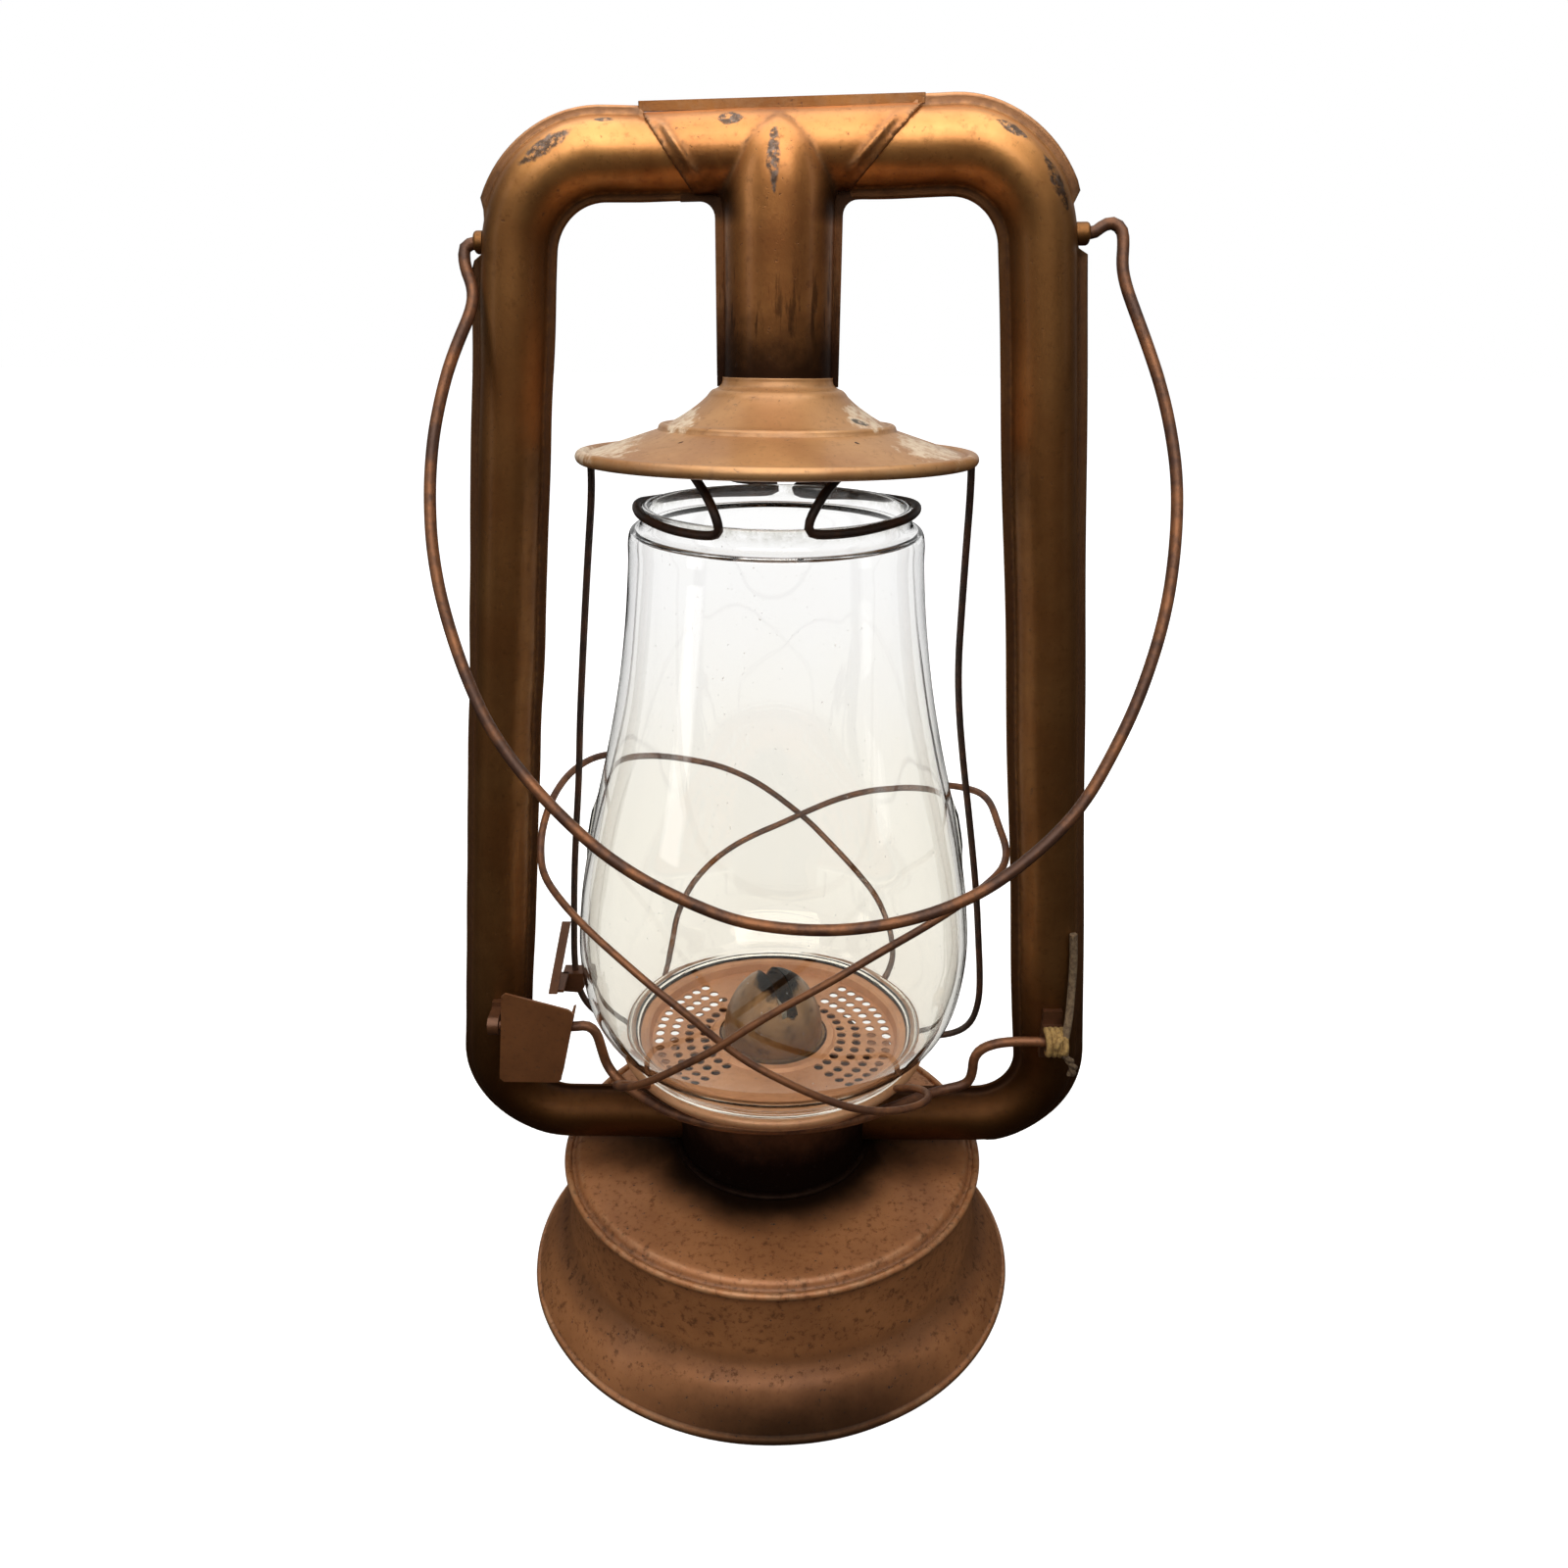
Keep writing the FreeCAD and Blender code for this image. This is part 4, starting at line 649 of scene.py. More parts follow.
# %% Paint on the tubes
# A scrape runs from one point to another, and its last number is how far it reaches to each side.
TUBE_SCRAPES = (
    ((-62.5, -5.9, 331.0), (-47.0, -5.9, 339.6), 2.7), ((-44.0, -4.5, 341.5), (-38.0, -4.5, 341.9), 1.0),
    ((50.0, -5.9, 342.6), (58.5, -5.9, 338.5), 1.7), ((62.0, -5.9, 335.6), (69.4, -5.9, 322.0), 2.3),
    ((46.0, -7.0, 340.5), (47.0, -7.2, 339.0), 0.9))


# Painted shade: the tubes darken below the bends and more down the legs.
def tube_painted_shade(shading):
    """Painted shade below the bends, which darkens the legs more on the way down."""
    return shading.most([low_down(shading, 323.0, 338.0) * 0.68, low_down(shading, 60.0, 240.0) * 0.92])


paint_tubes = copper_paint(
    "paint on the tubes", (0.74, 0.35, 0.11), (0.54, 0.22, 0.062), soot_and_shade=tube_painted_shade, specks=0.4,
    roughness=0.38, scrapes=TUBE_SCRAPES, hollow_dirt_and_shade=0.7, smoke_and_shade_colour=(0.034, 0.0115, 0.004))
print("made", paint_tubes.name)

# %% Tube middle line
TUBE = {"left": dict(side=-1, corner=334.7, radius=8.2, reach=10.45),
        "right": dict(side=1, corner=338.0, radius=8.35, reach=11.1)}
SEAM_THICK = 0.95
BEND_RADIUS = 23.0
LEG_X = 90.1
LOW_TUBE_HEIGHT = 55.6
EAR_X = 75
EAR_HEIGHT = 316.7
EAR_SLOPE = 0.0225
CROWN_HEIGHT = 335.9
CROWN_SLOPE = 0.0358


def crown_height(x):
    """Height of the crown's middle line, which rises a little to the right."""
    return CROWN_HEIGHT + CROWN_SLOPE * x


def bent_tube_line(corners, radius, step):
    """Straight runs joined by arcs of one radius, as points about `step` apart.

    A point of an arc is centre + (first sin (1 - s)t + last sin st) / sin t, where t is the turn.
    """
    corners = np.asarray(corners, float)
    points = [corners[0]]
    for before, here, after in zip(corners, corners[1:], corners[2:]):
        back = (before - here) / np.linalg.norm(before - here)
        on = (after - here) / np.linalg.norm(after - here)
        turn = np.pi - np.arccos(np.clip(back @ on, -1, 1))
        reach = radius * np.tan(turn / 2)
        centre = here + (back + on) / np.linalg.norm(back + on) * radius / np.cos(turn / 2)
        first, last = here + back * reach - centre, here + on * reach - centre
        share = np.linspace(0, 1, max(3, int(np.degrees(turn) / 3)))[:, None]
        swept = np.sin((1 - share) * turn) * first + np.sin(share * turn) * last
        points.append(centre + swept / np.sin(turn))
    points.append(corners[-1])
    return evenly(np.vstack(points), step)


# %% Tube with folded seams
def seam_section(radius, reach, outer, inner):
    """A circle with a fin on two sides; outer and inner (0 to 1) say how far each fin stands out."""
    half, fillet = SEAM_THICK / 2, 1.1
    centre = math.sqrt((radius + fillet) ** 2 - (half + fillet) ** 2)
    start = math.asin((half + fillet) / (radius + fillet))
    tip = np.array([[reach, 0.0], [reach - 0.06, half * 0.6], [reach - 0.25, half],
                    [(reach + centre) / 2, half]])
    swing = np.linspace(-np.pi / 2, -np.pi / 2 - (np.pi / 2 - start), 5)
    curve = np.stack([centre + fillet * np.cos(swing), half + fillet + fillet * np.sin(swing)], -1)
    quarter = np.linspace(start, np.pi / 2, 14)[1:]
    round_part = radius * np.stack([np.cos(quarter), np.sin(quarter)], -1)
    finned = np.vstack([tip, curve, round_part])
    angle = np.linspace(0, np.pi / 2, len(finned))
    plain = radius * np.stack([np.cos(angle), np.sin(angle)], -1)
    first = plain[None] + (finned - plain)[None] * outer[:, None, None]
    second = (plain[None] + (finned - plain)[None] * inner[:, None, None]) * (-1, 1)
    upper = np.concatenate([first, second[:, ::-1][:, 1:]], 1)
    lower = (upper * (1, -1))[:, ::-1][:, 1:-1]
    return np.concatenate([upper, lower], 1)


def fade(value, start, end):
    """0 before `start`, 1 after `end`, smooth between."""
    share = np.clip((value - start) / (end - start), 0, 1)
    return share * share * (3 - 2 * share)


print("tube section ready")

# %% Both tubes
for word, size in TUBE.items():
    side = size["side"]
    tube_corners = [(side * 12.6, crown_height(side * 12.6)), (side * 33.0, crown_height(side * 33.0)),
                    (side * 62.8, size["corner"]), (side * LEG_X, LOW_TUBE_HEIGHT),
                    (side * 27.5, LOW_TUBE_HEIGHT)]
    line = bent_tube_line(tube_corners, BEND_RADIUS, 1.6)
    along = np.gradient(line, axis=0)
    along /= np.linalg.norm(along, axis=1, keepdims=True)
    outward = side * np.stack([-along[:, 1], along[:, 0]], -1)
    ear_height = EAR_HEIGHT + EAR_SLOPE * side * EAR_X
    near_ear = fade(np.abs(line[:, 1] - ear_height), 3.6, 5.6)
    upper_half = line[:, 1] > 200
    reach_x = np.abs(line[:, 0])
    on_top = np.where(upper_half, fade(reach_x, 31.0, 33.0), 1.0)
    under = np.where(upper_half, 1.0, fade(reach_x, 63.0, 71.0))
    outer = np.where(reach_x > 62, near_ear, 1.0) * on_top * under
    inner = np.where(upper_half, 1.0, fade(reach_x, 29.0, 34.0))
    section = seam_section(size["radius"], size["reach"], outer, inner)
    across = section[..., 0]
    points = np.stack([line[:, None, 0] + outward[:, None, 0] * across, section[..., 1],
                       line[:, None, 1] + outward[:, None, 1] * across], -1)
    swell = uneven(points, 0.14, 38.0, 11 + side)
    shape = points - np.stack([line[:, 0], 0 * line[:, 0], line[:, 1]], -1)[:, None, :]
    points = points + shape / np.linalg.norm(shape, axis=-1, keepdims=True) * swell[..., None]
    tube = surface("tube_" + word, points, paint_tubes, "lantern_frame",
                   ("side_tube_" + word, "outer_seam_" + word, "inner_seam_" + word))
    fin = fade(np.linalg.norm(section, axis=-1) - size["radius"], 0.12, 0.7)
    outside = (across > 0) & (reach_x[:, None] > 30)
    mark(tube.data, "seam", (fin * ~outside).ravel())
    mark(tube.data, "rim", (fin * outside).ravel())

# %% [markdown]
# ## The crown
# The crown is a pressed tee: a sleeve over both tubes runs into the central tube, and a rounded
# gusset stands out in front of it. Such soft joints are easy to describe as a distance to the
# metal at every point of space, and the surface is where that distance is nought. Each cell of a
# grid that the surface crosses gets one point, at the middle of the crossings on its edges.

# %% Paint on the crown
CROWN_SCRAPES = (
    ((-1.2, -10, 342.0), (-1.0, -14, 325.5), 2.0), ((27.6, -6, 341.5), (21.6, -8, 330.5), 2.0),
    ((-15, -6, 341.5), (-8, -6, 342.3), 2.4), ((-28.0, -8, 339.0), (-25.0, -8, 333.0), 0.8))


def crown_soot_and_shade(shading):
    """Streaks down the post, painted shade under the sleeve but not on the gusset, and a black foot."""
    streaks = shading.step(shading.noise(3.2, 6.0, 0.65, (1, 1, 7)), 0.42, 0.62)
    streaks = streaks * (1 - shading.step(shading.height(), 295.0, 332.0)) * 0.85
    gusset = shading.spot((0, -14, 328), (14, 18, 18), 0.1, 9.0, 0.5)
    # Painted shade on the sleeve's underside, kept off the gusset.
    smoke_and_shade = low_down(shading, 325.0, 338.0, 5.0) * shading.step(shading.height(), 317.0, 323.0) * 0.85
    film = low_down(shading, 312.0, 334.0) * 0.3
    foot = low_down(shading, 286.0, 314.0, 5.0) * 0.96
    return shading.most([streaks, smoke_and_shade * (1 - gusset), film, foot])


paint_crown = copper_paint(
    "paint on the crown", (0.62, 0.265, 0.078), (0.38, 0.14, 0.038), soot_and_shade=crown_soot_and_shade, specks=0.5,
    roughness=0.38, scrapes=CROWN_SCRAPES, hollow_dirt_and_shade=0.7, smoke_and_shade_colour=(0.020, 0.010, 0.007))
print("made", paint_crown.name)

# %% Surface from a distance field
def nets(name, field, low, high, step, finish, body, replaced):
    """The zero surface of field(x, y, z), by one vertex in each crossed cell."""
    axes = [np.arange(a, b + step, step) for a, b in zip(low, high)]
    x, y, z = np.meshgrid(*axes, indexing="ij")
    value = field(x, y, z)
    corners = [(i, j, k) for i in (0, 1) for j in (0, 1) for k in (0, 1)]
    nx, ny, nz = (size - 1 for size in value.shape)

    def shifted(i, j, k):
        return value[i:i + nx, j:j + ny, k:k + nz]

    total = np.zeros((nx, ny, nz, 3))
    count = np.zeros((nx, ny, nz))
    for a in corners:
        for direction in range(3):
            if a[direction]:
                continue
            b = list(a)
            b[direction] = 1
            first, second = shifted(*a), shifted(*b)
            crossing = (first < 0) != (second < 0)
            share = np.where(crossing, first / np.where(crossing, first - second, 1), 0)
            for k in range(3):
                total[..., k] += np.where(crossing, a[k] + (share if k == direction else 0), 0)
            count += crossing
    used = count > 0
    index = -np.ones(used.shape, int)
    index[used] = np.arange(used.sum())
    cells = np.stack(np.nonzero(used), -1)
    vertices = np.asarray(low) + step * (cells + total[used] / count[used][:, None])
    faces = []
    for direction in range(3):
        u, v = (direction + 1) % 3, (direction + 2) % 3
        near = [slice(1, -1)] * 3
        far = [slice(1, -1)] * 3
        near[direction] = slice(0, -1)
        far[direction] = slice(1, None)
        first, second = value[tuple(near)] < 0, value[tuple(far)] < 0
        base = np.stack(np.nonzero(first != second), -1)
        outwards = first[tuple(base.T)]
        base = base + 1
        base[:, direction] -= 1
        quad = []
        for du, dv in ((-1, -1), (0, -1), (0, 0), (-1, 0)):
            cell = base.copy()
            cell[:, u] += du
            cell[:, v] += dv
            quad.append(index[tuple(cell.T)])
        quad = np.stack(quad, -1)
        quad[~outwards] = quad[~outwards][:, ::-1]
        faces.append(quad)
    faces = np.vstack(faces)
    faces = faces[(faces >= 0).all(1)]
    mesh = bpy.data.meshes.new(name)
    mesh.from_pydata((vertices * MM).tolist(), [], faces.tolist())
    dress(name, mesh, finish, body, replaced)


def soft_least(a, b, radius):
    """The smaller of two distances, with a fillet of about that radius between them."""
    blend = np.clip(radius - np.abs(a - b), 0, None) / radius
    return np.minimum(a, b) - blend * blend * radius / 4


# %% Crown
SLEEVE_RADIUS = 9.05
GUSSET_DEPTH = 13.9
GUSSET_WIDTH = 13.6
GUSSET_TOP = 343.7
POST_FOOT = 281.8


def crown_field(x, y, z):
    """Sleeve, central tube and hooded gusset with fillets, cut by slanting ends."""
    lift = z - crown_height(x)
    sleeve_radius = SLEEVE_RADIUS
    left_end = (x - (-26.85 - 14.9 / 22 * lift)) * 0.83
    right_end = ((25.45 + 19.9 / 22 * lift) - x) * 0.74
    for distance in (left_end, right_end):
        rib = np.exp(-((distance - 3.0) / 0.85) ** 2) * fade(lift, -7.0, -3.5) * (1 - fade(lift, 4.5, 7.5))
        sleeve_radius = sleeve_radius + 0.8 * rib
    sleeve = np.sqrt(y * y + lift * lift) - sleeve_radius
    sleeve = np.maximum(np.maximum(sleeve, -left_end), -right_end)
    hood = np.clip((z - 324.0) / 20.4, 0, 0.985)
    depth = GUSSET_DEPTH * np.sqrt(1 - hood ** 3.2)
    arch = np.clip((z - 326.0) / 17.0, 0, 0.985)
    width = GUSSET_WIDTH * np.sqrt(1 - arch ** 2.4)
    share = np.sqrt((x / width) ** 2 + (y / depth) ** 2) + 1e-6
    slope = np.sqrt((x / width ** 2) ** 2 + (y / depth ** 2) ** 2) + 1e-6
    post = np.where(share > 0.3, (share - 1) * share / slope, -8.0)
    post = np.maximum(post, z - GUSSET_TOP)
    fillet = 4.8 - 4.2 * fade(z, 322.0, 330.0)
    whole = soft_least(sleeve, post, fillet)
    whole = np.maximum(whole, POST_FOOT - z)
    dent = uneven(np.stack([x, y, z], -1), 0.12, 30.0, 5)
    return whole + dent


nets("crown_tee", crown_field, (-37, -15.5, 280.5), (38, 15.5, 347.6), 0.55, paint_crown,
     "lantern_frame", ("crown",))

# %% Crown seams
SOFT_EDGE = 0.18


def strip(name, outline, thickness, replaced, seam):
    """A flat piece in the XZ plane with softened edges, from its outline in millimetres."""
    outline = np.asarray(outline, float)
    inward = outline.mean(0) - outline
    inner = outline + inward / np.linalg.norm(inward, axis=1, keepdims=True) * SOFT_EDGE
    half = thickness / 2
    depths = -half, -half + SOFT_EDGE, half - SOFT_EDGE, half
    layers = []
    for ring, depth in zip((inner, outline, outline, inner), depths):
        layers.append(np.stack([ring[:, 0], np.full(len(ring), depth), ring[:, 1]], -1))
    piece = surface(name, np.stack(layers), paint_crown, "lantern_frame", replaced)
    piece.data.shade_flat()
    mark(piece.data, "seam", np.full(len(piece.data.vertices), seam))


top_strip = [(-33.4, 343.75), (34.3, 346.18), (34.3, 348.38), (-33.4, 345.95)]
web_left = np.vstack([
    [(-24.0, 328.6), (-24.0, 324.6)], arc((-19.2, 321.1), 3.7, 90, 0, 8),
    [(-15.5, 281.9), (-12.9, 281.9), (-12.9, 329.0)]])
web_right = np.vstack([
    [(12.9, 330.0), (12.9, 281.9), (15.5, 281.9)], arc((19.2, 321.9), 3.7, 180, 90, 8),
    [(24.0, 325.8), (24.0, 330.4)]])
strip("crown_strip", top_strip, 1.5, ("crown_top_seam",), 0.35)
strip("crown_web_left", web_left, SEAM_THICK, ("crown_seam_left",), 1.0)
strip("crown_web_right", web_right, SEAM_THICK, ("crown_seam_right",), 1.0)

# %% [markdown]
# ## The canopy
# The bell over the glass slides on the central tube. It has two slopes with a pressed bead
# between them and a rolled rim, and this one sits three degrees out of true.

# %% Paint on the canopy
# A pale spot has a middle, and its last three numbers are how far it reaches along X, Y and Z.
PALE_SPOTS = (
    ((-43, -10, 267), (13, 20, 5)), ((-24, -12, 275), (5, 12, 4)), ((36, -16, 268), (13, 15, 4)),
    ((22, -12, 276), (6, 10, 5)))
CANOPY_SCRAPES = (((17, -18, 277), (24, -14, 274), 1.6), ((13, -17, 279.5), (17, -13, 279), 0.9))
paint_canopy = copper_paint(
    "paint on the canopy", (0.60, 0.32, 0.13), (0.45, 0.215, 0.082), specks=0.5, roughness=0.46,
    metal=0.5, hollow_dirt_and_shade=0.35, pale_spots=PALE_SPOTS, scrapes=CANOPY_SCRAPES)
print("made", paint_canopy.name)

# %% Canopy
CANOPY_LEAN = math.radians(-3.0)
CANOPY_PIVOT = 282.5


def leaned(points):
    """The canopy's tilt: three degrees about X, front up, round the top of its neck."""
    y, z = points[..., 1], points[..., 2] - CANOPY_PIVOT
    leaned_y = y * math.cos(CANOPY_LEAN) - z * math.sin(CANOPY_LEAN)
    leaned_z = CANOPY_PIVOT + y * math.sin(CANOPY_LEAN) + z * math.cos(CANOPY_LEAN)
    return np.stack([points[..., 0], leaned_y, leaned_z], -1)


upper_slope = through([
    (14.1, 284.2), (14.15, 283.2), (14.6, 282.2), (15.7, 281.5), (16.7, 281.1), (17.5, 280.4),
    (18.4, 279.3), (20.8, 277.3), (24.2, 275.0), (27.0, 273.4), (28.4, 272.8)], 5)
bead_roll = arc((29.5, 271.75), 1.25, 118, 20, 9)
lower_slope = through([(30.9, 271.4), (33.0, 270.7), (42.0, 267.8), (48.7, 265.7)], 6)
rim_curl = arc((50.4, 264.75), 1.68, 158, -160, 22)
canopy_outside = np.vstack([upper_slope, bead_roll, lower_slope, rim_curl])
canopy_inside = np.vstack([
    inside_of(lower_slope, 0.5)[::-1][1:], [(29.6, 270.9)], inside_of(upper_slope, 0.5)[::-1]])
canopy_shape = leaned(spun(np.vstack([canopy_outside, canopy_inside]), 220, 0.12, 21))
surface("canopy_bell", canopy_shape, paint_canopy, "globe_cage", ("canopy", "canopy_rim"),
        wrap_rows=True)

# %% [markdown]
# ## The glass globe
# The globe was blown into a mould, so the wall is a couple of millimetres thick, the top edge is
# ground flat, and a small lug on each side marks the mould. The profile closes on itself, which
# gives the shader a true inside and outside to bend light between. A shadow ray passes straight
# through the glass, because otherwise the burner inside would stand in the dark.

# %% Glass
def clear_glass(name):
    """Solid glass, faintly warm low down, with dust specks and a ground lip; shadow rays pass."""
    material, shading = new_material(name)
    dust = shading.step(shading.noise(1.1, 2.0, 0.5), 0.735, 0.77)
    dust = dust * shading.step(shading.noise(16.0), 0.42, 0.6)
    height = shading.height() + (shading.noise(22.0, 4.0, 0.6) - 0.5) * 30
    tint = shading.mix((0.90, 0.86, 0.79, 1), (0.975, 0.955, 0.895, 1), shading.step(height, 80.0, 120.0))
    tint = shading.mix(tint, (1.0, 0.999, 0.995, 1), shading.step(height, 150.0, 240.0))
    ground = shading.step(shading.noise(3.0, 5.0, 0.7), 0.35, 0.6)
    ground = shading.step(shading.height(), 247.5, 250.5) * ground
    tint = shading.mix(tint, (0.74, 0.73, 0.69, 1), ground)
    glass = shading.node("ShaderNodeBsdfPrincipled", None, {
        "Base Color": tint,
        "Roughness": 0.012 + ground * 0.22, "IOR": 1.47, "Transmission Weight": 1.0,
        "Normal": shading.bump(shading.noise(30.0, 2.0, 0.4), 0.5, 0.25)})
    speck = shading.node("ShaderNodeBsdfPrincipled", None, {
        "Base Color": (0.62, 0.58, 0.52, 1), "Roughness": 0.8})
    dusty = shading.node("ShaderNodeMixShader", None, {0: dust * 0.8, 1: glass, 2: speck})
    clear = shading.node("ShaderNodeBsdfTransparent", None, {"Color": (0.95, 0.94, 0.92, 1)})
    shadow = shading.node("ShaderNodeLightPath", output="Is Shadow Ray")
    whole = shading.node("ShaderNodeMixShader", None, {0: shadow, 1: dusty, 2: clear})
    shading.node("ShaderNodeOutputMaterial", None, {"Surface": whole})
    return material


glass = clear_glass("globe glass")
print("made", glass.name)

# %% Globe
LUG_HEIGHT = 158.0
globe_outside = through([
    (46.4, 88.8), (46.9, 90.6), (49.6, 93.9), (54.2, 99.8), (57.1, 108.0), (58.6, 122.0),
    (57.4, 137.0), (55.2, 150.0), (52.0, 166.0), (47.7, 184.0), (44.0, 202.0), (41.4, 220.0),
    (39.8, 236.0), (39.5, 243.0), (38.6, 245.9), (36.5, 246.9), (35.85, 248.3), (35.8, 251.4)], 5)
globe_inside = inside_of(globe_outside, -2.2)[::-1]
lip = [(35.5, 251.95), (34.8, 252.0), (34.0, 251.95), (33.65, 251.4)]
foot = [(44.9, 92.2), (43.2, 90.5), (42.2, 89.3), (42.1, 88.65), (46.2, 88.62)]
globe_profile = np.vstack([globe_outside, lip, globe_inside[2:][globe_inside[2:, 1] > 93.0], foot])
globe_shape = spun(globe_profile, 200, 0.16, 33)
bearing = np.arctan2(globe_shape[..., 1], globe_shape[..., 0])
for side_angle in (0.0, np.pi):
    away = np.angle(np.exp(1j * (bearing - side_angle))) * 54
    lug = 1.1 * np.exp(-(away / 2.6) ** 4 - ((globe_shape[..., 2] - LUG_HEIGHT) / 8.0) ** 6)
    lug[len(globe_outside):] = 0
    globe_shape[..., 0] += lug * np.cos(bearing)
    globe_shape[..., 1] += lug * np.sin(bearing)
surface("glass_globe", globe_shape, glass, "globe_cage", ("globe",), wrap_rows=True)

# %% [markdown]
# ## Wires
# Every wire follows the same corner points as the model, with each corner rounded from the middle
# of one run to the middle of the next. That is the line a wire takes when it is bent by hand. The
# wires were painted too, but wire flexes and sheds paint, so it is darker and patchier.

# %% Wire finish
def wire_paint(name, bright, deep, patchy=0.6, roughness=0.45):
    """Bronze paint on wire: copper tone with dark bare lengths."""
    material, shading = new_material(name)
    lengths = shading.step(shading.noise(11.0, 5.0, 0.65), 0.5 - 0.25 * patchy, 0.62)
    fine = shading.noise(1.3, 5.0, 0.7)
    colour = shading.mix((*bright, 1), (*deep, 1), lengths)
    colour = shading.mix(colour, (0.03, 0.02, 0.015, 1), shading.step(fine, 0.55, 0.78) * 0.8)
    finish_with(shading, {
        "Base Color": colour, "Roughness": roughness + (fine - 0.5) * 0.3,
        "Metallic": 0.55 - lengths * 0.15, "Normal": shading.bump(fine, 0.10, 0.7)})
    return material


wire_copper = wire_paint("copper wire", (0.22, 0.09, 0.038), (0.095, 0.038, 0.019), patchy=0.35)
wire_bail = wire_paint("bail wire", (0.26, 0.105, 0.042), (0.075, 0.033, 0.019))
wire_dark = wire_paint("dark wire", (0.075, 0.033, 0.018), (0.03, 0.017, 0.012), roughness=0.5)
print("wire finishes:", wire_copper.name, wire_bail.name, wire_dark.name)

# %% Wire points
def polar(bearing, radius, height):
    """A point from its bearing in degrees, its radius and its height."""
    angle = math.radians(bearing)
    return (radius * math.cos(angle), radius * math.sin(angle), height)


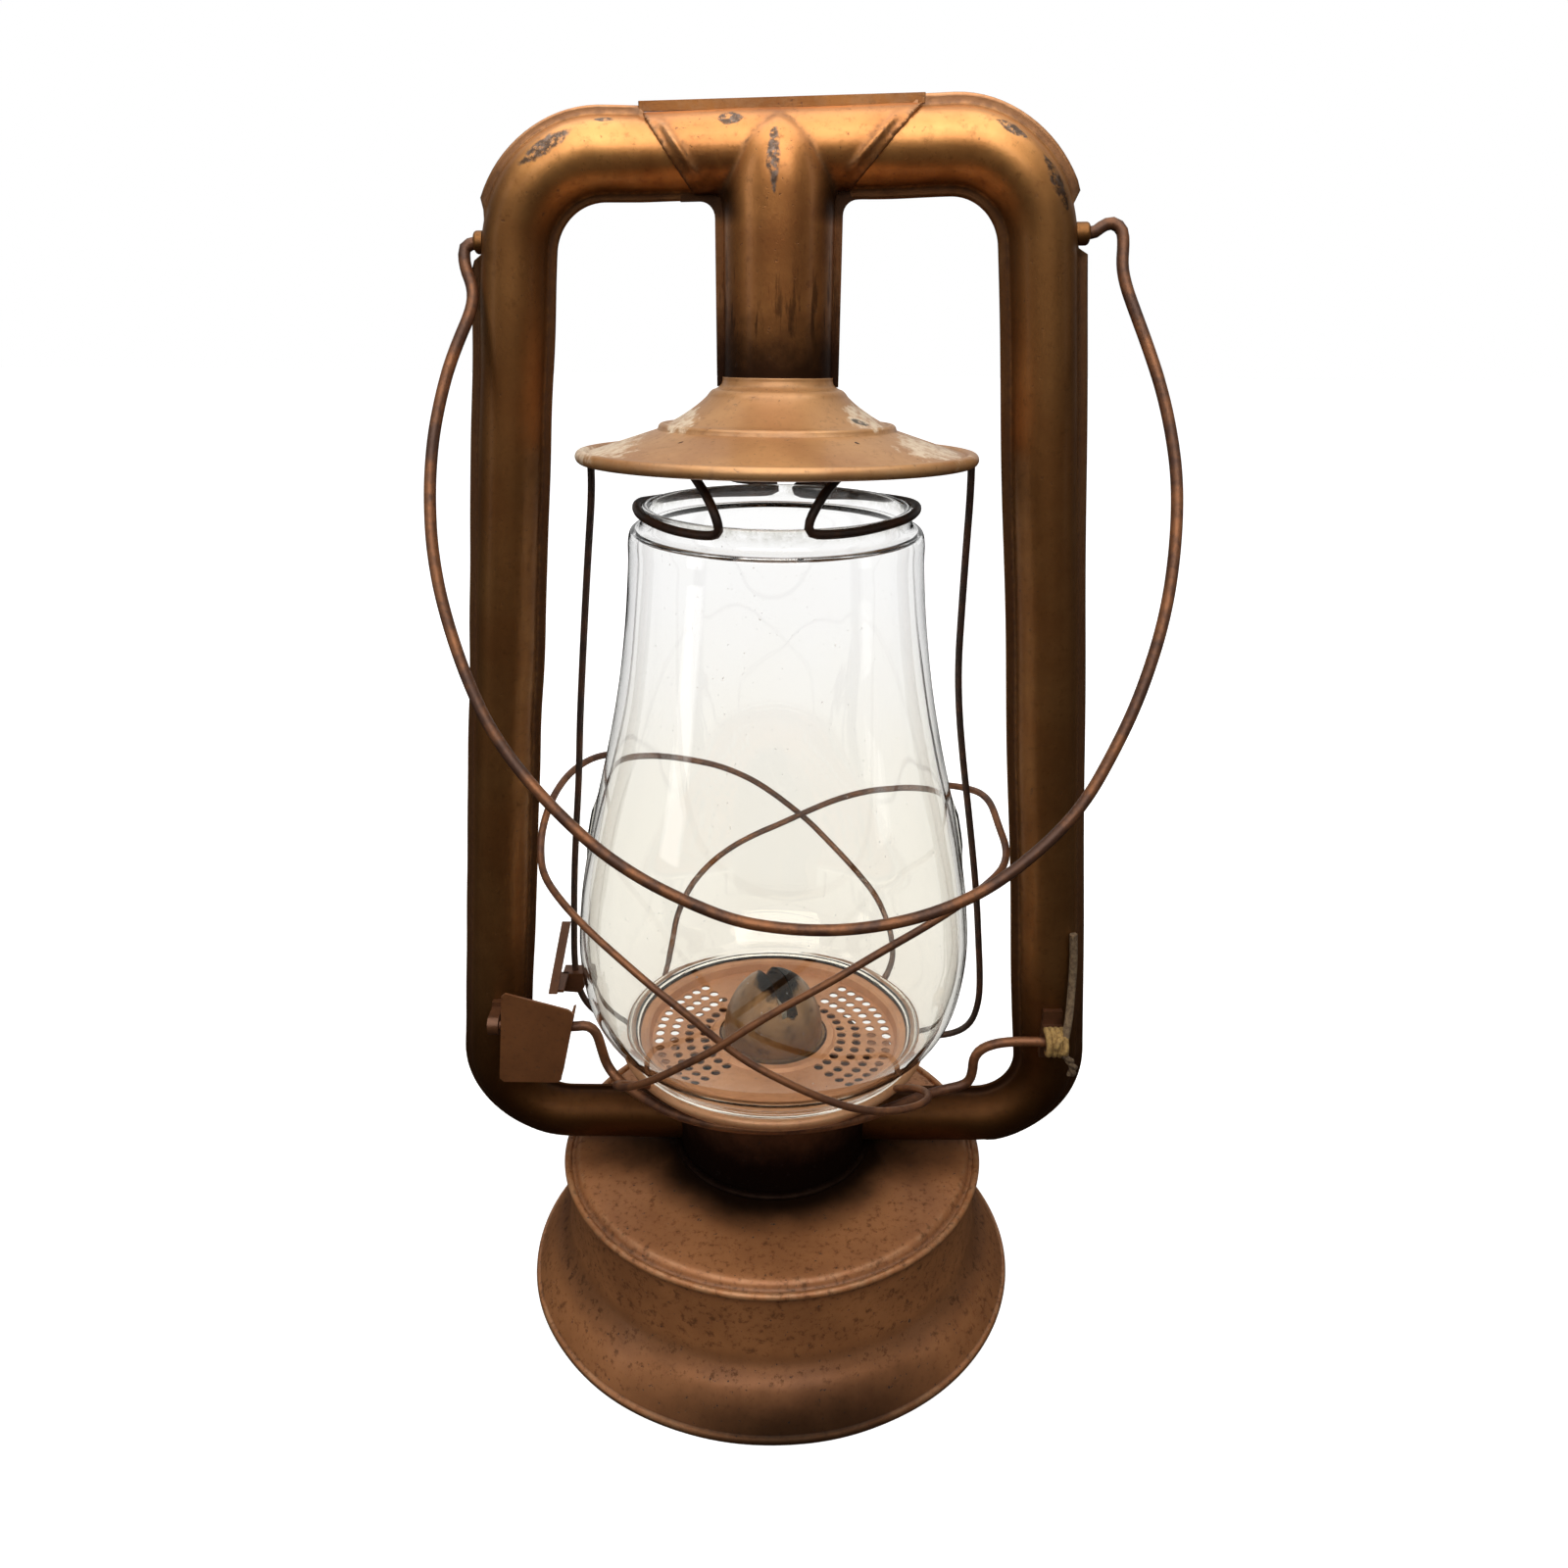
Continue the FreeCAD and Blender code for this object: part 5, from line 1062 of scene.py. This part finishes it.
HUG = 35.8 + 1.15 + 0.42
WIRES = {
    "holder_wire_left": (1.15, wire_dark, [
        (-23.0, -27.5, 271.1), (-20.8, -29.4, 265.0), (-17.4, -32.6, 261.0), (-15.2, -35.6, 257.6),
        (-13.6, -36.9, 253.6), polar(-111, HUG + 0.4, 250.6), polar(-119, HUG, 249.9),
        polar(-133, HUG, 250.1), polar(-147, HUG, 250.8), polar(-161, HUG, 251.2),
        polar(-175, HUG, 251.9), polar(171, HUG, 251.6),
        polar(157, HUG, 250.6), polar(143, HUG, 250.2), polar(129, HUG, 250.0), polar(115, HUG + 0.2, 249.6),
        polar(101, HUG + 0.4, 249.3), (-2.6, 38.0, 249.3), (0.2, 38.2, 250.4), (-1.8, 38.0, 252.0),
        (-8.0, 37.2, 252.6), (-14.6, 35.0, 253.6), (-18.4, 32.2, 259.0), (-20.2, 30.2, 268.1)]),
    "holder_wire_right": (1.15, wire_dark, [
        (19.5, -29.0, 271.5), (16.2, -30.8, 265.2), (12.0, -33.8, 261.2), (9.8, -36.2, 258.0),
        (7.9, -37.2, 254.4), polar(-78, HUG + 0.5, 251.4), polar(-70, HUG, 250.9), polar(-57, HUG, 251.0),
        polar(-43, HUG, 251.5), polar(-29, HUG, 251.7), polar(-15, HUG, 252.0), polar(-1, HUG, 252.1),
        polar(13, HUG, 251.6), polar(27, HUG, 250.9), polar(41, HUG, 250.4), polar(55, HUG + 0.1, 249.8),
        polar(67, HUG + 0.4, 249.0), (10.6, 37.0, 248.8), (6.6, 38.1, 248.8), (4.2, 38.4, 250.2),
        (6.0, 38.0, 251.6), (11.4, 36.6, 252.0), (16.4, 34.6, 253.4), (19.4, 31.8, 259.0),
        (21.0, 29.8, 268.1)]),
    "guide_wire_left": (1.0, wire_dark, [
        (-48.9, 0, 264.4), (-49.0, 0, 255.0), (-50.7, 0, 240.0), (-52.4, 0, 224.0), (-54.1, 0, 207.0),
        (-55.7, 0, 190.0), (-56.9, 0, 173.0), (-58.8, 0, 155.0), (-60.2, 0, 139.0), (-61.0, 0, 125.0),
        (-61.7, 0, 112.0), (-61.0, 0, 101.5), (-57.2, 0, 94.0), (-47.2, 0, 87.2)]),
    "guide_wire_right": (1.0, wire_dark, [
        (50.9, 0, 264.4), (51.2, 0, 255.0), (51.0, 0, 241.0), (50.9, 0, 225.0), (50.9, 0, 208.0),
        (52.1, 0, 194.0), (54.1, 0, 180.0), (56.6, 0, 165.0), (59.0, 0, 150.0), (61.2, 0, 135.0),
        (62.8, 0, 120.0), (64.2, 0, 107.0), (64.4, 0, 98.0), (62.4, 0, 90.0), (56.5, 0, 86.2),
        (46.4, 0, 85.5)]),
    "guard_wire_a": (1.05, wire_copper, [
        polar(-40, 47.4, 87.9), polar(-43, 54.6, 93.4), polar(-45.6, 62.4, 97.4),
        polar(-48.5, 66.0, 98.2), polar(-55, 66.9, 99.4), polar(-63, 67.0, 101.7),
        polar(-71, 66.6, 105.2), polar(-79, 65.6, 109.8), polar(-87, 64.6, 114.8),
        polar(-95, 63.9, 119.6), polar(-103, 63.7, 126.0), polar(-110, 64.8, 133.0),
        polar(-118, 65.6, 138.8), polar(-126, 66.1, 143.8), polar(-134, 66.9, 147.8),
        polar(-142, 67.5, 150.8), polar(-150, 67.8, 152.4), polar(-158, 68.2, 153.2),
        polar(-165, 68.3, 154.4), polar(-170, 67.6, 160.4), polar(-176, 65.6, 165.6),
        polar(176, 64.2, 168.0), polar(166, 63.8, 168.8), polar(155, 64.0, 168.4),
        polar(146, 64.5, 166.6), polar(137.5, 65.0, 164.0), polar(128, 65.5, 161.0),
        polar(118, 66.0, 157.1), polar(109, 66.1, 153.4), polar(100, 66.2, 148.5),
        polar(92, 66.8, 142.2), polar(84, 67.0, 135.0), polar(78, 66.6, 129.4),
        polar(72, 66.2, 123.2), polar(64, 66.1, 115.2), polar(56, 65.9, 107.4),
        polar(50, 64.6, 99.0), polar(45, 60.4, 91.4), polar(41, 55.0, 89.4),
        polar(37, 47.3, 87.7)]),
    "guard_wire_b": (1.05, wire_copper, [
        polar(-140, 47.4, 87.9), polar(-136.6, 55.2, 93.8), polar(-134.0, 62.8, 99.4),
        polar(-130.0, 66.0, 102.0), polar(-124, 66.8, 105.8), polar(-117, 66.8, 111.6),
        polar(-110, 66.4, 118.0), polar(-103, 66.1, 124.0), polar(-97, 65.0, 129.4),
        polar(-91, 64.1, 134.2), polar(-85, 63.9, 138.4), polar(-79, 64.1, 142.2),
        polar(-72, 64.9, 146.8), polar(-65, 66.2, 151.4), polar(-55, 67.9, 156.0),
        polar(-45, 68.6, 158.6), polar(-33, 68.8, 159.4), polar(-22, 68.6, 158.4),
        polar(-11, 67.7, 157.8), polar(-3, 65.5, 160.4), polar(5, 64.7, 163.6),
        polar(13, 64.6, 163.2), polar(21, 65.0, 161.0), polar(30, 65.5, 158.2),
        polar(40, 65.8, 154.6), polar(50, 66.0, 150.7), polar(60, 66.0, 146.8),
        polar(69.6, 65.8, 142.0), polar(79, 64.7, 136.6), polar(88, 64.2, 131.0),
        polar(97, 65.2, 126.2), polar(106, 66.0, 120.6), polar(113, 66.1, 114.6),
        polar(119, 65.8, 107.4), polar(124, 63.8, 99.0), polar(128, 59.4, 91.6),
        polar(133, 54.6, 89.6), polar(142, 47.3, 87.7)]),
}
for name, (radius, finish, points) in WIRES.items():
    surface("bent_" + name, wire(rounded(points), radius), finish, "globe_cage", (name,))


# %% Lifting crank
CRANK_Y = -15.5


def crank_height(x):
    """Height of the crank's pivot line, which drops from left to right."""
    return 98.65 - 0.025 * (x + 88.0)


crank_points = [
    (-86.2, CRANK_Y, crank_height(-86.2)), (-60.6, CRANK_Y, crank_height(-60.6)),
    (-56.0, CRANK_Y, 98.9), (-53.2, CRANK_Y, 96.2), (-52.0, -15.6, 90.0), (-50.6, -16.0, 84.4),
    (-46.6, -19.0, 81.0), (-38.8, -26.0, 80.4), (-28.0, -34.6, 80.4),
    (-12.0, -40.2, 80.4), (6.0, -40.6, 80.4), (22.0, -36.8, 80.2), (35.0, -28.8, 79.4), (45.6, -20.0, 77.6),
    (53.0, -16.2, 77.2), (60.2, CRANK_Y, 78.6), (61.4, CRANK_Y, 83.4),
    (61.2, CRANK_Y, 88.6), (64.2, CRANK_Y, 92.6),
    (72.0, CRANK_Y, crank_height(72.0)), (89.0, CRANK_Y, crank_height(89.0))]
surface("bent_lift_crank", wire(rounded(crank_points), 1.5, 16), wire_copper, "lift_lever",
        ("lift_crank",))

# %% Bail
# Each pair is a place along the line through both ears and a drop below it, before the bail swings.
BAIL_HANG = math.radians(-23.0)
bail_points = [
    (-68.0, 0.0), (-76.9, 0.0), (-77.6, 3.2), (-76.8, 7.4), (-75.6, 10.2), (-75.2, 13.8), (-76.2, 17.9),
    (-78.7, 23.5), (-81.3, 30.2), (-83.4, 37.7), (-85.3, 47.0), (-86.2, 56.0), (-86.4, 64.0), (-86.1, 72.5),
    (-85.2, 80.0), (-83.8, 87.4), (-81.2, 97.0), (-77.4, 108.0), (-72.0, 120.0), (-62.5, 133.3),
    (-48.3, 147.8), (-36.3, 156.4), (-24.4, 162.5), (-12.5, 167.4), (-0.5, 169.4), (11.4, 170.0),
    (23.4, 168.9), (35.4, 166.2), (47.4, 161.3), (57.0, 154.9), (66.7, 146.6), (73.9, 138.3),
    (80.0, 127.7), (85.4, 117.0), (89.6, 106.2), (92.9, 95.5), (95.1, 84.7), (96.5, 72.0), (96.7, 60.0),
    (95.4, 48.8), (93.1, 37.8), (89.7, 27.1), (86.9, 19.2), (84.8, 13.0), (83.9, 8.0), (84.4, 2.6),
    (84.2, -1.0), (81.6, -2.9), (78.6, -1.4), (77.2, 0.0), (68.0, 0.0)]
flat_bail = np.array([(x, 0.0, -drop) for x, drop in bail_points])
swing = Matrix.Rotation(-math.atan(EAR_SLOPE), 3, "Y") @ Matrix.Rotation(BAIL_HANG, 3, "X")
hung_bail = flat_bail @ np.array(swing).T + (0, 0, EAR_HEIGHT)
surface("bent_bail", wire(rounded(hung_bail), 1.5, 16), wire_bail, "bail", ("bail",))
print("wires bent:", len(WIRES) + 2)

# %% [markdown]
# ## Twine
# The rest of the scrap is wound round the eye of the right-hand strap: a helix of a little more
# than three turns, with a lump of knot in front. Its other end is a short tail of two twisted plies.

# %% Twine winding and tail
WINDING_RADIUS = 3.75
turn = np.linspace(0, 2 * np.pi * 3.4, 110)
eye_x = 82.7 + turn / turn[-1] * 5.6
winding_line = np.stack([
    eye_x, CRANK_Y + WINDING_RADIUS * np.cos(turn + 1.2),
    crank_height(eye_x) + WINDING_RADIUS * np.sin(turn + 1.2)], -1)
surface("twine_winding", wire(winding_line, 0.95, 10, 0.8), twine_yellow, "lantern_frame",
        ("twine_knot",))
knot_turn = np.linspace(0, 2 * np.pi, 60)
knot_line = np.stack([86.3 + 1.5 * np.sin(knot_turn), -19.5 + 1.0 * np.sin(2 * knot_turn + 0.6),
                      95.4 + 2.2 * np.cos(knot_turn)], -1)
surface("twine_lump", wire(knot_line, 0.9, 10, 0.6), twine_yellow, "lantern_frame")
tail_points = [(87.8, -18.0, 92.0), (90.2, -18.0, 89.2), (91.9, -17.0, 85.8), (91.4, -15.8, 82.6)]
tail_route = evenly(rounded(tail_points), 0.4)
spin = np.linspace(0, 2 * np.pi * 1.6, len(tail_route))
for number, phase in ((1, 0.0), (2, np.pi)):
    ply = tail_route + 0.62 * np.stack([np.cos(spin + phase), np.sin(spin + phase), 0 * spin], -1)
    surface(f"twine_tail_ply_{number}", wire(ply, 0.8, 10, 0.6), twine_grey, "lantern_frame",
            ("twine_tail",) if number == 1 else ())

# %% [markdown]
# ## Parts kept from the model
# The rest of the model's parts are small, flat or hidden, and their shape is right as it is. Each
# gets the finish of its kind.

# %% Finishes for small parts
def burner_soot(shading):
    """Smoke round the flame slot, in a streak down the cone's front and in clouds all over."""
    round_slot = shading.spot((1.5, 0.0, 110), (9, 15, 9.5), 0.35, 3.0)
    streak = shading.scrape((3.0, -9.0, 108.0), (7.5, -13.0, 98.0), 3.4)
    return shading.most([round_slot, streak, shading.step(shading.noise(4.0), 0.5, 0.75) * 0.5])


paint_lever = copper_paint(
    "paint on the lever", (0.25, 0.098, 0.035), (0.16, 0.061, 0.022), specks=0.45, roughness=0.46,
    metal=0.45)
paint_shade = copper_paint(
    "paint on the small sheet parts", (0.12, 0.048, 0.02), (0.07, 0.027, 0.012), specks=0.45, metal=0.5,
    coat=0.1)
burner_metal = copper_paint(
    "burner", (0.22, 0.112, 0.036), (0.11, 0.053, 0.018), soot_and_shade=burner_soot, metal=0.6)
dull_brass = plain_finish("dull brass", (0.30, 0.19, 0.08), (0.15, 0.09, 0.04), 6.0, 0.45, 0.8)
cotton = plain_finish(
    "wick cotton", (0.62, 0.56, 0.44), (0.40, 0.34, 0.25), 1.2, 0.95, 0.0, 0.25, (1, 1, 0.4))
rubber = plain_finish("gasket rubber", (0.05, 0.045, 0.04), (0.03, 0.028, 0.026), 4.0, 0.8, 0.0)
print("materials so far:", len(bpy.data.materials))

# %% Kept parts
KEPT = {
    paint_fount: ("fount_bottom", "filler_neck", "filler_cap"),
    chamber_paint_and_shade: ("chamber_deck",),
    paint_tubes: ("bail_ear_left", "bail_ear_right"),
    paint_shade: ("lift_strap_left", "lift_strap_right", "guide_catch", "catch_blade"),
    paint_lever: ("lever_plate",),
    paint_plate: ("globe_plate",),
    burner_metal: ("burner_dome", "burner_basket"),
    dull_brass: ("burner_collar", "wick_tube", "wick_spindle", "spur_wheel_1", "spur_wheel_2", "wick_knob"),
    cotton: ("wick",),
    rubber: ("filler_gasket",),
}
for finish, names in KEPT.items():
    for name in names:
        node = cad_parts[name]
        node.data.materials.clear()
        node.data.materials.append(finish)
print("kept parts:", sum(len(names) for names in KEPT.values()))

# %% [markdown]
# ## Light and background
# The photograph looks down at the lantern from close by, with a wide lens. The lantern stands on
# white in a bright, soft room: most light comes from above, a little from the left. The background
# is white to the camera and through the glass, while the metal mirrors a darker room and floor.

# %% Lamps
def softbox(name, place, target, width, height, power, colour=(1, 1, 1)):
    """A rectangular lamp that faces a point."""
    data = bpy.data.lights.new(name, "AREA")
    data.shape = "RECTANGLE"
    data.size = width
    data.size_y = height
    data.energy = power
    data.color = colour
    lamp = bpy.data.objects.new(name, data)
    bpy.context.scene.collection.objects.link(lamp)
    lamp.location = place
    direction = Vector(target) - Vector(place)
    lamp.rotation_euler = direction.to_track_quat("-Z", "Y").to_euler()


softbox("ceiling softbox", (-0.03, -0.1, 1.05), (0, 0, 0.2), 1.3, 0.9, 7.0, (1.0, 0.96, 0.90))
softbox("front softbox", (-0.05, -0.95, 0.95), (0, 0, 0.15), 1.2, 0.8, 8.5, (1.0, 0.96, 0.91))
softbox("left softbox", (-0.95, -0.45, 0.45), (0, 0, 0.2), 0.25, 0.8, 1.0)
softbox("right softbox", (1.0, -0.35, 0.5), (0, 0, 0.2), 0.2, 0.8, 0.45)
print("lamps:", len(bpy.data.lights))

# %% World
world = bpy.data.worlds.new("room")
bpy.context.scene.world = world
world.use_nodes = True
room = Shading(world.node_tree)
direction = room.node("ShaderNodeTexCoord", output="Generated")
behind = room.node("ShaderNodeSeparateXYZ", None, {0: direction}, output=1)
overhead = room.node("ShaderNodeSeparateXYZ", None, {0: direction}, output=2)
back_wall = room.step(behind, 0.35, 0.85)
brightness = 0.06 + back_wall * 0.45 + room.step(overhead, 0.45, 0.95) * 0.5
paths = room.tree.nodes.new("ShaderNodeLightPath")
camera_ray = Value(room, paths.outputs["Is Camera Ray"])
glass_ray = Value(room, paths.outputs["Is Transmission Ray"])
diffuse_ray = Value(room, paths.outputs["Is Diffuse Ray"])
seen = room.node("ShaderNodeBackground", None, {"Color": (1, 1, 1, 1), "Strength": 1.0})
mirrored = room.node("ShaderNodeBackground", None, {"Color": (1, 1, 1, 1), "Strength": brightness})
soft = room.node("ShaderNodeBackground", None, {"Color": (1.0, 0.98, 0.96, 1), "Strength": 0.20})
indirect = room.node("ShaderNodeMixShader", None, {0: diffuse_ray, 1: mirrored, 2: soft})
shows = room.most([camera_ray, glass_ray])
whole_room = room.node("ShaderNodeMixShader", None, {0: shows, 1: indirect, 2: seen})
room.node("ShaderNodeOutputWorld", None, {"Surface": whole_room})
print("world:", world.name)

# %% Floor
floor_material, ground = new_material("white table")
paths = ground.tree.nodes.new("ShaderNodeLightPath")
seen_ray = Value(ground, paths.outputs["Is Camera Ray"])
through_glass = Value(ground, paths.outputs["Is Transmission Ray"])
matt = ground.node("ShaderNodeBsdfDiffuse", None, {"Color": (0.62, 0.61, 0.6, 1)})
dim = ground.node("ShaderNodeBsdfDiffuse", None, {"Color": (0.022, 0.02, 0.018, 1)})
far = ground.step(ground.from_axis(), 130.0, 500.0)
glow = ground.node("ShaderNodeEmission", None, {
    "Color": ground.mix((0.82, 0.82, 0.82, 1), (1.05, 1.05, 1.05, 1), far), "Strength": 1.0})
lit = ground.node("ShaderNodeAddShader", None, {0: matt, 1: glow})
white = ground.node("ShaderNodeEmission", None, {"Color": (1, 1, 1, 1), "Strength": 1.0})
table = ground.node("ShaderNodeMixShader", None, {0: seen_ray, 1: dim, 2: lit})
table = ground.node("ShaderNodeMixShader", None, {0: through_glass, 1: table, 2: white})
ground.node("ShaderNodeOutputMaterial", None, {"Surface": table})
floor_mesh = bpy.data.meshes.new("white_table")
floor_mesh.from_pydata([(-4, -4, 0), (4, -4, 0), (4, 4, 0), (-4, 4, 0)], [], [(0, 1, 2, 3)])
floor_mesh.materials.append(floor_material)
floor = bpy.data.objects.new("white_table", floor_mesh)
bpy.context.scene.collection.objects.link(floor)
bpy.context.scene.view_settings.view_transform = "Standard"
print("floor:", floor.name)

# %% Corners of a box
def corners(bounds):
    """Both corners of a box as plain lists."""
    return [[float(part) for part in corner] for corner in bounds]
